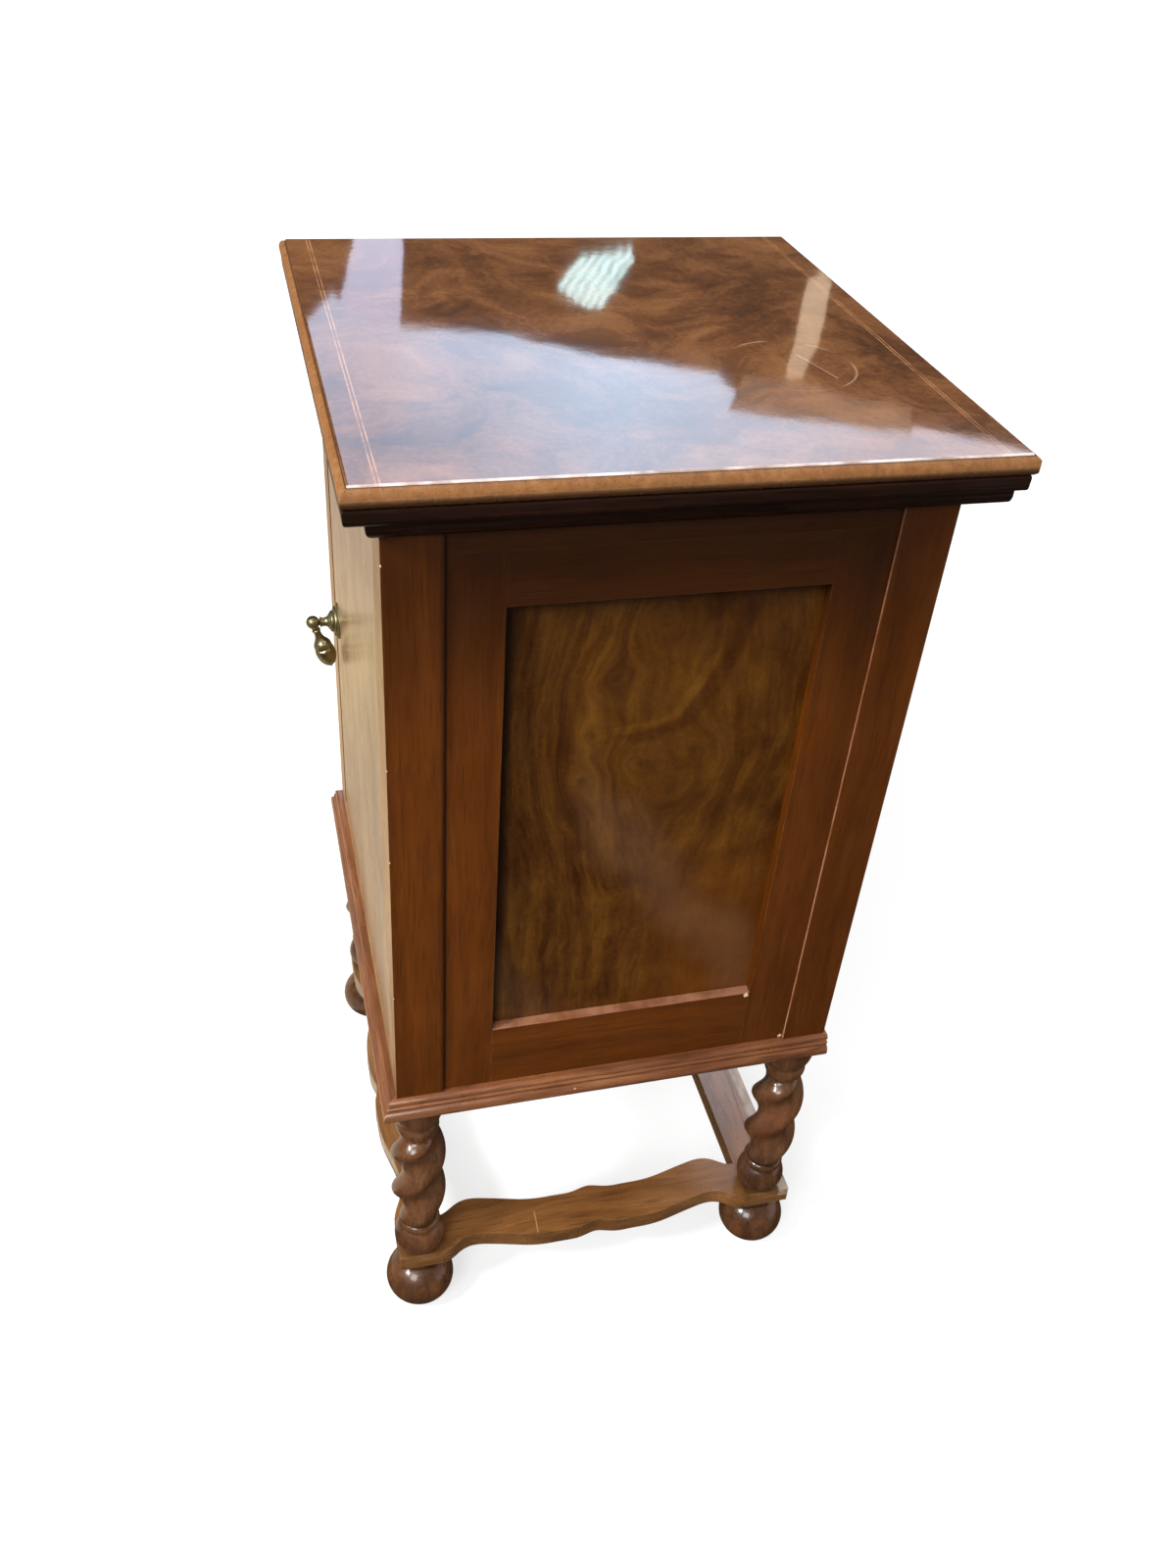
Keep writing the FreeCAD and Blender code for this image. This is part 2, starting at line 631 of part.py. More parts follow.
def pull_rose():
    face = V(PULL_X, DOOR_SETBACK, PULL_Z)
    return turned((PULL_SCREW_R + RUNNING, 0), [
        [(PULL_ROSE_R, 0)], [(PULL_ROSE_R, 1.0)], [(PULL_ROSE_R - 1.0, 1.6)],
        [(13.2, 2.2)], [(12.7, 3.6), (11.4, 4.2)], [(9.4, 4.8)],
        [(8.9, 6.6), (7.6, 7.2)], [(6.6, PULL_ROSE_H)],
        [(PULL_SCREW_R + RUNNING, PULL_ROSE_H)],
    ], face, V(0, -1, 0))


def pull_stem():
    """Turned post with a flat tongue for the drop, and a screw into the door."""
    face = V(PULL_X, DOOR_SETBACK, PULL_Z)
    end = PULL_REACH - KNUCKLE_R - 0.4
    post = turned((0, PULL_ROSE_H), [
        [(6.2, PULL_ROSE_H)], [(4.6, 9.8), (3.9, 12.0)], [(4.0, end - 1.6)], [(4.8, end)],
        [(0, end)],
    ], face, V(0, -1, 0))
    y_end = DOOR_SETBACK - end
    tongue = box(PULL_X - TONGUE_HALF, PULL_X + TONGUE_HALF, KNUCKLE_Y, y_end + 1,
                 PULL_Z - TONGUE_R, PULL_Z + TONGUE_R)
    eye = Part.makeCylinder(TONGUE_R, 2 * TONGUE_HALF,
                            V(PULL_X - TONGUE_HALF, KNUCKLE_Y, PULL_Z), V(1, 0, 0))
    screw = turned((0, PULL_ROSE_H), [
        [(PULL_SCREW_R, PULL_ROSE_H)], [(PULL_SCREW_R, 3 - PULL_SCREW_L)], [(0, -PULL_SCREW_L)],
    ], face, V(0, -1, 0))
    hole = Part.makeCylinder(PULL_PIN_R + RUNNING, 4 * TONGUE_HALF,
                             V(PULL_X - 2 * TONGUE_HALF, KNUCKLE_Y, PULL_Z), V(1, 0, 0))
    return post.fuse([tongue, eye, screw]).cut(hole).removeSplitter(), screw


def pull_drop():
    """Acorn drop whose ball is slotted over the tongue and turns on a cross pin."""
    pivot = V(PULL_X, KNUCKLE_Y, PULL_Z)
    lean = math.radians(DROP_LEAN)
    down = V(0, math.sin(lean), -math.cos(lean))
    acorn = turned((0, 3.0), [
        [(4.6, 3.0)], [(3.2, 6.6), (3.2, 7.6)], [(3.9, 8.4), (3.3, 9.2)],
        [(3.4, 14.5), (5.6, 19.5)], [(7.4, 22.6), (8.0, 26.0)], [(7.3, 27.0)], [(8.2, 28.0)],
        [(8.6, 35.5), (4.6, 44.6)], [(1.6, 46.8)], [(1.0, DROP_LENGTH)], [(0, DROP_LENGTH)],
    ], pivot, down)
    knuckle = Part.makeSphere(KNUCKLE_R, pivot)
    drop = knuckle.fuse(acorn)
    x0, x1 = PULL_X - SLOT_HALF, PULL_X + SLOT_HALF
    out = 2 * KNUCKLE_R
    room = TONGUE_R + 0.4
    y, z = KNUCKLE_Y, PULL_Z
    drop = drop.cut([
        box(x0, x1, y, y + out, z - room, z + out),
        box(x0, x1, y - room - 1, y, z, z + out),
        Part.makeCylinder(room, 2 * SLOT_HALF, V(x0, y, z), V(1, 0, 0)),
    ])
    reach = KNUCKLE_R - 0.1
    pin = Part.makeCylinder(PULL_PIN_R, 2 * reach, V(PULL_X - reach, y, z), V(1, 0, 0))
    return drop.cut(pin), pin


# ---- the whole cabinet --------------------------------------------------------------

def main():
    os.makedirs("parts", exist_ok=True)

    leg = twist_leg()
    for name, x, y in legs():
        save("bun_foot_" + name, foot(x, y))
        placed = leg.copy()
        placed.translate(V(x, y, 0))
        save("twist_leg_" + name, placed)
    for group in (stretchers(), stand_rails(), cornice(), top_edge()):
        for name, shape in group.items():
            save(name, shape)
    save("top_board", top_board())

    barrel, ball, strike, dimple = catch()
    upper_fixed, upper_moving, upper_screws, upper_door_screws = hinge_set(True)
    lower_fixed, lower_moving, lower_screws, lower_door_screws = hinge_set(False)
    stem, stem_screw = pull_stem()
    drop, drop_pin = pull_drop()

    for side, sign in sides():
        for end, at_back in (("front", False), ("back", True)):
            post = corner_post(sign, at_back)
            if (end, side) == ("front", "left"):
                post = post.cut([strike, dimple])
            save("post_" + end + "_" + side, post)
        for name, shape in side_frame(sign).items():
            save("side_" + side + "_" + name, shape)

    rails = top_rails()
    rails["top_rail_front"] = rails["top_rail_front"].cut([upper_fixed] + upper_screws)
    for name, shape in rails.items():
        save(name, shape)
    save("carcass_bottom", carcass_bottom().cut([lower_fixed] + lower_screws))
    save("back_panel", back_panel())
    save("shelf", shelf())
    save("shelf_bearers", shelf_bearer(-1), shelf_bearer(1))
    save("door_stop", door_stop())

    pin_wells = [Part.makeCylinder(PIN_R + RUNNING, 2 * PLATE_T,
                                   V(PIVOT_X, PIVOT_Y, z), V(0, 0, direction))
                 for z, direction in ((DOOR_HIGH, -1), (DOOR_LOW, 1))]
    leaf = box(-DOOR_HALF, DOOR_HALF, DOOR_SETBACK, DOOR_BACK, DOOR_LOW, DOOR_HIGH)
    barrel_room = Part.makeCylinder(BARREL_R, BARREL_L,
                                    V(-DOOR_HALF, DOOR_SETBACK + DOOR_T / 2, CATCH_Z),
                                    V(1, 0, 0))
    leaf = leaf.cut([upper_moving, lower_moving, barrel_room, stem_screw] + pin_wells
                    + upper_door_screws + lower_door_screws)
    save("door_leaf", leaf)
    save("hinge_plates_carcass", upper_fixed, lower_fixed)
    save("hinge_plates_door", upper_moving, lower_moving)
    save("hinge_screws_carcass", *(upper_screws + lower_screws))
    save("hinge_screws_door", *(upper_door_screws + lower_door_screws))
    save("catch_barrel", barrel)
    save("catch_ball", ball)
    save("catch_strike", strike.cut(dimple))
    save("pull_rose", pull_rose())
    save("pull_stem", stem)
    save("pull_drop", drop)
    save("pull_pin", drop_pin)


main()
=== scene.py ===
import json
import math

import bpy
from mathutils import Matrix, Vector


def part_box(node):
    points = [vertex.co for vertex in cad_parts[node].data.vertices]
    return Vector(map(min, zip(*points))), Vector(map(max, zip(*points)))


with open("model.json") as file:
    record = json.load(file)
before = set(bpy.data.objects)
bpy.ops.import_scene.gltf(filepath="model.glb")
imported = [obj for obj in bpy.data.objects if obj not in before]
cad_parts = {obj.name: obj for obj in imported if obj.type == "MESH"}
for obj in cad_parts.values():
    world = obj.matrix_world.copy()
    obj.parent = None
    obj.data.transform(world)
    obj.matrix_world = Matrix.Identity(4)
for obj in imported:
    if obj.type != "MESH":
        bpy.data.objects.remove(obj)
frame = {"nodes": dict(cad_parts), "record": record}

# Places and lengths are in metres, in the cabinet's frame: +Z is up and -Y is the front.

NODES = frame["nodes"]
SLOTS = {part["node"]: part["material_slot"] for part in frame["record"]["subparts"]}
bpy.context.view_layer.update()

# ---- camera -------------------------------------------------------------------------

CAMERA_AT = Vector((0.8903, -0.2653, 1.1707))
CAMERA_AZIMUTH = 72.735         # degrees from the front towards the right
CAMERA_ELEVATION = 37.929
CAMERA_ROLL = 4.901
CAMERA_LENS = 30.8              # millimetres, as is the sensor
CAMERA_SENSOR = 36.0


def make_camera():
    azimuth, elevation = math.radians(CAMERA_AZIMUTH), math.radians(CAMERA_ELEVATION)
    back = Vector((math.sin(azimuth) * math.cos(elevation),
                   -math.cos(azimuth) * math.cos(elevation), math.sin(elevation)))
    level = Vector((math.cos(azimuth), math.sin(azimuth), 0))
    upright = back.cross(level)
    roll = math.radians(CAMERA_ROLL)
    right = level * math.cos(roll) + upright * math.sin(roll)
    up = upright * math.cos(roll) - level * math.sin(roll)
    data = bpy.data.cameras.new("camera")
    data.lens = CAMERA_LENS
    data.sensor_width = CAMERA_SENSOR
    camera = bpy.data.objects.new("camera", data)
    bpy.context.scene.collection.objects.link(camera)
    turn = Matrix((right, up, back)).transposed().to_4x4()
    camera.matrix_world = Matrix.Translation(CAMERA_AT) @ turn
    bpy.context.scene.camera = camera


# ---- node trees ---------------------------------------------------------------------

def srgb(red, green, blue):
    """A colour written as 0 to 255 screen values, as the linear colour that shaders take."""
    def linear(value):
        value = value / 255
        return value / 12.92 if value <= 0.04045 else ((value + 0.055) / 1.055) ** 2.4
    return tuple(linear(v) for v in (red, green, blue))


def darker(colour, times):
    return tuple(times * channel for channel in colour)


class Shader:
    """A short way to write a node tree. Inputs are numbers, colours or other nodes' outputs."""

    def __init__(self, name=None, tree=None):
        if name:
            self.material = bpy.data.materials.new(name)
            self.material.use_nodes = True
            tree = self.material.node_tree
        self.tree = tree
        self.tree.nodes.clear()

    def put(self, socket, value):
        if isinstance(value, bpy.types.NodeSocket):
            self.tree.links.new(value, socket)
        elif isinstance(value, (tuple, list)) and len(socket.default_value) == 4:
            socket.default_value = (*value[:3], 1.0)
        else:
            socket.default_value = value

    def node(self, kind, inputs=None, **settings):
        made = self.tree.nodes.new("ShaderNode" + kind)
        for key, value in settings.items():
            setattr(made, key, value)
        for key, value in (inputs or {}).items():
            self.put(made.inputs[key], value)
        return made

    # numbers

    def math(self, operation, a, b=0.0):
        return self.node("Math", {0: a, 1: b}, operation=operation).outputs[0]

    def chain(self, operation, values):
        total = values[0]
        for value in values[1:]:
            total = self.math(operation, total, value)
        return total

    def add(self, *values):
        return self.chain("ADD", values)

    def times(self, *values):
        return self.chain("MULTIPLY", values)

    def most(self, *values):
        return self.chain("MAXIMUM", values)

    def absolute(self, value):
        return self.math("ABSOLUTE", value)

    def apart(self, a, b):
        """How far two numbers are from each other."""
        return self.absolute(self.math("SUBTRACT", a, b))

    def sway(self, value, amount):
        """A noise value about its middle, times an amount."""
        return self.math("MULTIPLY", self.math("SUBTRACT", value, 0.5), amount)

    def span(self, value, low, high, to_low=0.0, to_high=1.0):
        """Smooth step from to_low to to_high while the value goes from low to high."""
        return self.node("MapRange", {0: value, 1: low, 2: high, 3: to_low, 4: to_high},
                         interpolation_type="SMOOTHSTEP").outputs[0]

    # vectors

    def vector(self, operation, a, b=(0, 0, 0)):
        return self.node("VectorMath", {0: a, 1: b}, operation=operation).outputs[0]

    def scaled(self, a, factor):
        return self.node("VectorMath", {0: a, "Scale": factor}, operation="SCALE").outputs[0]

    def dot(self, a, b):
        return self.node("VectorMath", {0: a, 1: b}, operation="DOT_PRODUCT").outputs["Value"]

    def length(self, a):
        return self.node("VectorMath", {0: a}, operation="LENGTH").outputs["Value"]

    def part(self, vector, axis):
        return self.node("SeparateXYZ", {0: vector}).outputs["xyz".index(axis)]

    def join(self, x, y, z):
        return self.node("CombineXYZ", {0: x, 1: y, 2: z}).outputs[0]

    def coordinates(self, kind="Object"):
        return self.node("TexCoord").outputs[kind]

    def places(self):
        """Places in metres: the cabinet's own, and the same shifted differently per piece."""
        where = self.coordinates()
        random = self.node("ObjectInfo").outputs["Random"]
        shift = self.join(*(self.times(random, far) for far in (3.1, 5.3, 7.7)))
        return where, self.vector("ADD", where, shift)

    def faces(self, axis, sign=1):
        """1 on faces that look along an axis, or against it where the sign is -1."""
        along = self.times(self.part(self.coordinates("Normal"), axis), sign)
        return self.span(along, 0.80, 0.95)

    # patterns and masks

    def noise(self, vector, scale, detail=2.0, roughness=0.5, distortion=0.0, output="Fac"):
        return self.node("TexNoise", {"Vector": vector, "Scale": scale, "Detail": detail,
                                      "Roughness": roughness, "Distortion": distortion}
                         ).outputs[output]

    def warp(self, vector, scale, amount):
        """Places pushed about by noise of a scale, by up to about half the amount."""
        push = self.vector("SUBTRACT", self.noise(vector, scale, output="Color"),
                           (0.5, 0.5, 0.5))
        return self.vector("ADD", vector, self.vector("MULTIPLY", push, (amount,) * 3))

    def spots(self, where, places):
        """Mask of ragged blots. Each place is a centre and a radius."""
        blots = []
        for centre, radius in places:
            torn = self.warp(where, 1.2 / radius, 0.6 * radius)
            off = self.length(self.vector("SUBTRACT", torn, centre))
            blots.append(self.span(off, radius, 0.8 * radius))
        return self.most(*blots)

    def scratch(self, where, start, end, width):
        """Mask of a thin straight mark between two places."""
        along = Vector(end) - Vector(start)
        offset = self.vector("SUBTRACT", where, start)
        run = self.dot(offset, tuple(along / along.length_squared))
        run = self.node("Clamp", {0: run}).outputs[0]
        off = self.length(self.vector("SUBTRACT", offset, self.scaled(tuple(along), run)))
        return self.span(off, width, 0.4 * width)

    def worn_edges(self, own, width=0.0012, amount=0.5):
        """Mask of arrises where the finish is rubbed thin, broken up along their length."""
        rounded = self.node("Bevel", {"Radius": width}, samples=4).outputs[0]
        facing = self.dot(rounded, self.node("NewGeometry").outputs["Normal"])
        patches = self.span(self.noise(own, 55.0, 3.0, 0.6), 0.40, 0.66, 0.15, 1.0)
        return self.times(self.span(facing, 0.995, 0.86), patches, amount)

    def hollows(self, distance, shallow, amount):
        """Mask of painted shade: places that their surroundings shade, within a distance."""
        open_sky = self.node("AmbientOcclusion", {"Distance": distance}, samples=4)
        return self.span(open_sky.outputs["AO"], shallow, 0.35, 0.0, amount)

    # colours and surfaces

    def mix(self, factor, a, b):
        made = self.node("Mix", data_type="RGBA")
        for index, value in ((0, factor), (6, a), (7, b)):
            self.put(made.inputs[index], value)
        return made.outputs[2]

    def ramp(self, value, stops):
        made = self.node("ValToRGB", {0: value})
        elements = made.color_ramp.elements
        while len(elements) < len(stops):
            elements.new(0.5)
        for element, (place, colour) in zip(elements, stops):
            element.position = place
            element.color = (*colour, 1.0)
        return made.outputs[0]

    def uneven(self, own, roughness):
        """Roughness that differs from place to place, as a hand-rubbed polish does."""
        return self.span(self.noise(own, 40.0, 3.0, 0.6), 0.3, 0.7,
                         roughness - 0.05, roughness + 0.08)

    def bump(self, height, distance):
        return self.node("Bump", {"Height": height, "Distance": distance}).outputs[0]

    def surface(self, colour, roughness, relief=None, polish=None, **sockets):
        """Principled surface, with relief in itself and in the polish over it. The other
        sockets are constants, set straight on the shader."""
        shader = self.node("BsdfPrincipled", {"Base Color": colour, "Roughness": roughness})
        for key, value in sockets.items():
            socket = key.replace("_", " ").title().replace("Ior", "IOR")
            shader.inputs[socket].default_value = value
        if relief is not None:
            self.put(shader.inputs["Normal"], relief)
        if polish is not None:
            self.put(shader.inputs["Coat Normal"], polish)
        self.node("OutputMaterial", {0: shader.outputs[0]})
        return self.material

    def glow(self, colour, strength=1.0):
        shine = self.node("Emission", {"Color": colour, "Strength": strength})
        self.node("OutputMaterial", {0: shine.outputs[0]})
        return self.material


# ---- walnut -------------------------------------------------------------------------

ALONG = 0.06            # grain features are this much slower along the grain than across it
FIBRES = 420.0          # fibres across the grain per metre
PORES = 900.0           # pores across the grain per metre
GRAIN_DEPTH = 0.0001
SPECK_DEPTH = 0.00005


def stretched(axis, slow=ALONG):
    return tuple(slow if letter == axis else 1.0 for letter in "xyz")


def straight_grain(s, own, axis, shades, band=40.0, contrast=1.0, pores=0.5):
    """Colour and relief of straight-grained walnut: growth bands, clouds, fibres and pores."""
    dark, mid, light = shades
    swayed = s.warp(own, 6.0, 0.03)
    along = s.vector("MULTIPLY", swayed, stretched(axis))
    bands = s.noise(along, band, 4.0, 0.6, 0.3)
    fibres = s.noise(along, FIBRES, 2.0, 0.6)
    clouds = s.noise(own, 14.0, 2.0)
    tone = s.add(0.5, s.sway(bands, 0.9 * contrast), s.sway(fibres, 0.30 * contrast),
                 s.sway(clouds, 0.35 * contrast))
    colour = s.ramp(tone, [(0.30, dark), (0.50, mid), (0.70, light)])
    long_pores = s.vector("MULTIPLY", own, stretched(axis, 0.5 * ALONG))
    pore = s.span(s.noise(long_pores, PORES, 1.0), 0.60, 0.70)
    colour = s.mix(s.times(pore, pores), colour, darker(dark, 0.4))
    height = s.math("SUBTRACT", s.times(fibres, 0.3), s.times(pore, 0.6))
    return colour, s.bump(height, GRAIN_DEPTH)


def burr_figure(s, own, size=1.0, swirl=1.0):
    """Three tones of burr veneer: blotches that fold round each other, streaks and specks."""
    folded = s.warp(own, 6.0 / size, 0.20 * size * swirl)
    folded = s.warp(folded, 22.0 / size, 0.045 * size * swirl)
    blotches = s.noise(folded, 11.0 / size, 5.0, 0.62, 0.3)
    streaks = s.noise(s.vector("MULTIPLY", folded, (1.0, 0.45, 0.45)), 60.0 / size, 3.0, 0.6)
    specks = s.noise(own, 260.0, 2.0, 0.6)
    return blotches, streaks, specks


FRONT_SHADES = (srgb(102, 72, 44), srgb(140, 104, 67), srgb(172, 136, 94))
FRONT_PAINTED_SHADE_RISES = (0.45, 0.78)      # heights between which painted shade darkens the front towards the top
FRONT_DEPTH = (-0.158, -0.162)  # the front's faces all lie further forward than this
CRACK = ((0.100, -0.187, 0.7290), (0.118, -0.187, 0.7400), (0.141, -0.187, 0.7360))
CRACK_WIDTHS = (0.0007, 0.0006)
CRACK_COLOUR = srgb(60, 36, 20)


def front_veneer(s, where):
    """Colour and specks of the figured walnut of the front, with a crack near the door's top
    and painted shade that darkens it towards the top.
    """
    tall = s.vector("MULTIPLY", where, (1.0, 1.0, 0.35))
    blotches, streaks, specks = burr_figure(s, tall, 1.3, 0.8)
    tone = s.add(0.5, s.sway(blotches, 0.9), s.sway(streaks, 0.35), s.sway(specks, 0.2))
    dark, mid, light = FRONT_SHADES
    colour = s.ramp(tone, [(0.28, dark), (0.5, mid), (0.74, light)])
    # painted shade: the front darkens towards the top, under the cornice
    colour = s.mix(s.span(s.part(where, "z"), *FRONT_PAINTED_SHADE_RISES, 0.0, 0.65), colour, dark)
    crack = s.most(*(s.scratch(where, *ends, width)
                     for *ends, width in zip(CRACK, CRACK[1:], CRACK_WIDTHS)))
    return s.mix(s.times(crack, 0.6), colour, CRACK_COLOUR), specks


def with_front_veneer(s, where, colour):
    """A piece's colour, with the front's veneer on faces that are part of the front."""
    veneer, _ = front_veneer(s, where)
    front = s.times(s.faces("y", -1), s.span(s.part(where, "y"), *FRONT_DEPTH))
    return s.mix(front, colour, veneer)


# colour of the painted shade under the cornice
CORNICE_PAINTED_SHADE = srgb(28, 12, 3)
CORNICE_PAINTED_SHADE_RISES = (0.62, 0.79)      # heights between which the painted shade under the cornice thickens


def painted_cornice_shade(s, where, colour, amount):
    """Painted shade: the colour is darkened towards the cornice, where its overhang shades the
    wood.
    """
    ragged = s.add(s.part(where, "z"), s.sway(s.noise(where, 9.0), 0.03))
    dark = s.times(s.span(ragged, *CORNICE_PAINTED_SHADE_RISES), amount)
    return s.mix(dark, colour, CORNICE_PAINTED_SHADE)


# ---- the finish of each material slot -----------------------------------------------

FRAME_SHADES = (srgb(65, 29, 2), srgb(88, 43, 4), srgb(108, 55, 8))
FRAME_WORN = srgb(160, 102, 64)
# colour of the painted light on the lower ledge and on the back post's step
FRAME_PAINTED_LIGHT = srgb(196, 142, 112)
# colour of the painted shade towards the back and of the painted shadow at the front joint
FRAME_PAINTED_SHADE = srgb(30, 12, 3)
SET_BACK_X = (0.1990, 0.1985)       # between the posts' faces and the side frames', which get more painted shade
BACK_JOINT_X = (0.1980, 0.1984)     # the back post stands proud of the side frame
POST_JOINT_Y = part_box("post_front_right")[1].y
SIDE_CHIPS = (((0.1972, 0.1010, 0.3652), 0.0024), ((0.1990, 0.1400, 0.3075), 0.0026),
              ((0.1998, -0.1875, 0.7850), 0.0009), ((0.1998, -0.1875, 0.6350), 0.0007),
              ((0.1998, -0.1875, 0.5560), 0.0009), ((0.1998, -0.1875, 0.4210), 0.0007))
SIDE_CHIP_COLOUR = srgb(222, 190, 152)


def frame_wood(axis):
    """Posts, stiles and rails of the carcass, with painted shade under the cornice and towards
    the back. The lower ledge and the step at the back post are painted pale as lit faces,
    and a painted shadow lies along the joint at the front post."""
    s = Shader("frame_walnut_" + axis)
    where, own = s.places()
    out, back, up = s.absolute(s.part(where, "x")), s.part(where, "y"), s.part(where, "z")
    colour, relief = straight_grain(s, own, axis, FRAME_SHADES, contrast=0.7, pores=0.35)
    colour = s.mix(s.worn_edges(own), colour, FRAME_WORN)
    # painted shade under the cornice, stronger on the set-back side frames than on the posts
    colour = painted_cornice_shade(s, where, colour, s.span(out, *SET_BACK_X, 0.50, 0.80))
    # painted shade: darker towards the back
    painted_back_shade = s.span(back, -0.10, 0.16, 0.0, 0.22)
    # painted shadow of the front post's step, along its joint with the side frame
    painted_shadow = s.span(s.apart(back, POST_JOINT_Y), 0.0036, 0.0002, 0.0, 0.75)
    colour = s.mix(s.most(painted_back_shade, painted_shadow), colour, FRAME_PAINTED_SHADE)
    # painted light: the up-facing lower ledge and the front-facing step of the back post are
    # painted pale as lit faces, paler lower down on the step, broken into patches
    ledge = s.times(s.faces("z"), s.span(up, 0.50, 0.48), 0.4)
    step = s.times(s.faces("y", -1), s.span(out, *BACK_JOINT_X), s.span(back, 0.05, 0.06),
                   s.span(up, 0.80, 0.35, 0.25, 0.65))
    patches = s.span(s.noise(own, 40.0, 3.0, 0.6), 0.30, 0.60, 0.4, 1.0)
    colour = s.mix(s.times(s.most(ledge, step), patches), colour, FRAME_PAINTED_LIGHT)
    colour = with_front_veneer(s, where, colour)
    colour = s.mix(s.spots(where, SIDE_CHIPS), colour, SIDE_CHIP_COLOUR)
    return s.surface(colour, s.uneven(own, 0.40), relief, specular_ior_level=0.14,
                     coat_weight=0.18, coat_roughness=0.2)


INNER_SHADES = (srgb(104, 70, 42), srgb(134, 95, 60), srgb(160, 118, 78))
INNER_WORN = srgb(184, 146, 104)


def inner_wood(axis):
    """Plain wood of the inside. The front edge of the bottom board is veneered."""
    s = Shader("inner_wood_" + axis)
    where, own = s.places()
    colour, relief = straight_grain(s, own, axis, INNER_SHADES, band=70.0, contrast=0.6)
    colour = s.mix(s.worn_edges(own, amount=0.3), colour, INNER_WORN)
    colour = with_front_veneer(s, where, colour)
    return s.surface(colour, s.uneven(own, 0.6), relief, specular_ior_level=0.2)


MOULDING_SHADES = (srgb(82, 46, 24), srgb(114, 69, 41), srgb(144, 95, 60))
MOULDING_WORN = srgb(184, 130, 92)
MOULDING_CHIPS = (((0.2085, -0.1985, 0.2960), 0.0034), ((0.2085, -0.1900, 0.2960), 0.0020),
                  ((0.2085, -0.0420, 0.2930), 0.0012))
MOULDING_CHIP_COLOUR = srgb(222, 186, 150)


def moulding_wood(axis):
    """The stand's moulded rails, with a knocked corner."""
    s = Shader("moulding_walnut_" + axis)
    where, own = s.places()
    colour, relief = straight_grain(s, own, axis, MOULDING_SHADES, band=70.0, contrast=0.9)
    colour = s.mix(s.worn_edges(own), colour, MOULDING_WORN)
    colour = s.mix(s.spots(where, MOULDING_CHIPS), colour, MOULDING_CHIP_COLOUR)
    return s.surface(colour, s.uneven(own, 0.30), relief, specular_ior_level=0.5,
                     coat_weight=0.3, coat_roughness=0.15)


# dark old polish with painted shade in it
CORNICE_POLISH_AND_SHADE = (srgb(18, 7, 3), srgb(28, 12, 6), srgb(42, 20, 10))
CORNICE_WORN = srgb(66, 36, 18)


def cornice_wood(axis):
    """The cornice, nearly black: dark old polish, with the shade under its overhang painted in.
    """
    s = Shader("cornice_walnut_" + axis)
    _, own = s.places()
    colour, relief = straight_grain(s, own, axis, CORNICE_POLISH_AND_SHADE)
    colour = s.mix(s.worn_edges(own, amount=0.3), colour, CORNICE_WORN)
    return s.surface(colour, s.uneven(own, 0.34), relief, specular_ior_level=0.14)


EDGE_SHADES = (srgb(96, 58, 28), srgb(134, 89, 50), srgb(162, 114, 70))
EDGE_WORN = srgb(196, 148, 98)
EDGE_PAINTED_SHADE = srgb(46, 25, 10)
EDGE_JOINT = srgb(34, 17, 8)
EDGE_GRAIN = {"x": "y", "y": "x"}       # the grain runs across the strips


def edge_wood(axis):
    """Cushion moulding round the top, with painted shade on its lower half and old dark polish
    in the joint with the top board. The strips at the sides are the shiny ones."""
    s = Shader("edge_walnut_" + axis)
    where, own = s.places()
    across = EDGE_GRAIN[axis]
    colour, relief = straight_grain(s, own, across, EDGE_SHADES, band=170.0, contrast=0.42)
    colour = s.mix(s.worn_edges(own, amount=0.4), colour, EDGE_WORN)
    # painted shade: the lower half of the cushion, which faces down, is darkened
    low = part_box("top_edge_right")[0].z
    old = s.span(s.part(where, "z"), low + 0.0078, low + 0.0030, 0.0, 0.85)
    colour = s.mix(old, colour, EDGE_PAINTED_SHADE)
    top_low, top_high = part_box("top_board")
    proud = s.most(s.math("SUBTRACT", s.absolute(s.part(where, "x")), top_high.x),
                   s.math("SUBTRACT", top_low.y, s.part(where, "y")))
    colour = s.mix(s.span(proud, 0.0010, 0.0004, 0.0, 0.85), colour, EDGE_JOINT)
    if axis == "y":
        return s.surface(colour, s.uneven(own, 0.24), relief, specular_ior_level=0.5,
                         coat_weight=0.8, coat_roughness=0.12)
    return s.surface(colour, s.uneven(own, 0.45), relief, specular_ior_level=0.1,
                     coat_weight=0.05, coat_roughness=0.12)


LEG_SHADES = (srgb(44, 25, 13), srgb(79, 49, 28), srgb(106, 69, 42))
LEG_BLUSH = srgb(112, 58, 34)
LEG_PAINTED_HOLLOW_SHADE = srgb(26, 15, 9)


def leg_wood():
    """Legs and feet, turned and polished, with painted shade and old wax darkening the hollows.
    """
    s = Shader("leg_walnut")
    _, own = s.places()
    colour, relief = straight_grain(s, own, "z", LEG_SHADES, band=60.0, contrast=0.9)
    blush = s.span(s.noise(own, 18.0, 2.0), 0.45, 0.7)
    colour = s.mix(s.times(blush, 0.3), colour, LEG_BLUSH)
    # painted shade in the hollows, with old wax there too
    colour = s.mix(s.hollows(0.014, 0.85, 0.7), colour, LEG_PAINTED_HOLLOW_SHADE)
    return s.surface(colour, s.uneven(own, 0.30), relief, specular_ior_level=0.3,
                     coat_weight=0.42, coat_roughness=0.13, coat_ior=1.45)


STRETCHER_SHADES = (srgb(84, 50, 21), srgb(122, 80, 41), srgb(150, 105, 61))
STRETCHER_WORN = srgb(170, 126, 82)
STRETCHER_PAINTED_SHADE = srgb(44, 26, 12)
STRETCHER_SCRATCH = ((0.1741, -0.0596, 0.078), (0.1963, -0.0608, 0.078), 0.0008)
STRETCHER_SCRATCH_COLOUR = srgb(190, 142, 96)
STRETCHER_RUBBED = srgb(188, 174, 154)
STRETCHER_RIM_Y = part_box("stretcher_back")[1].y


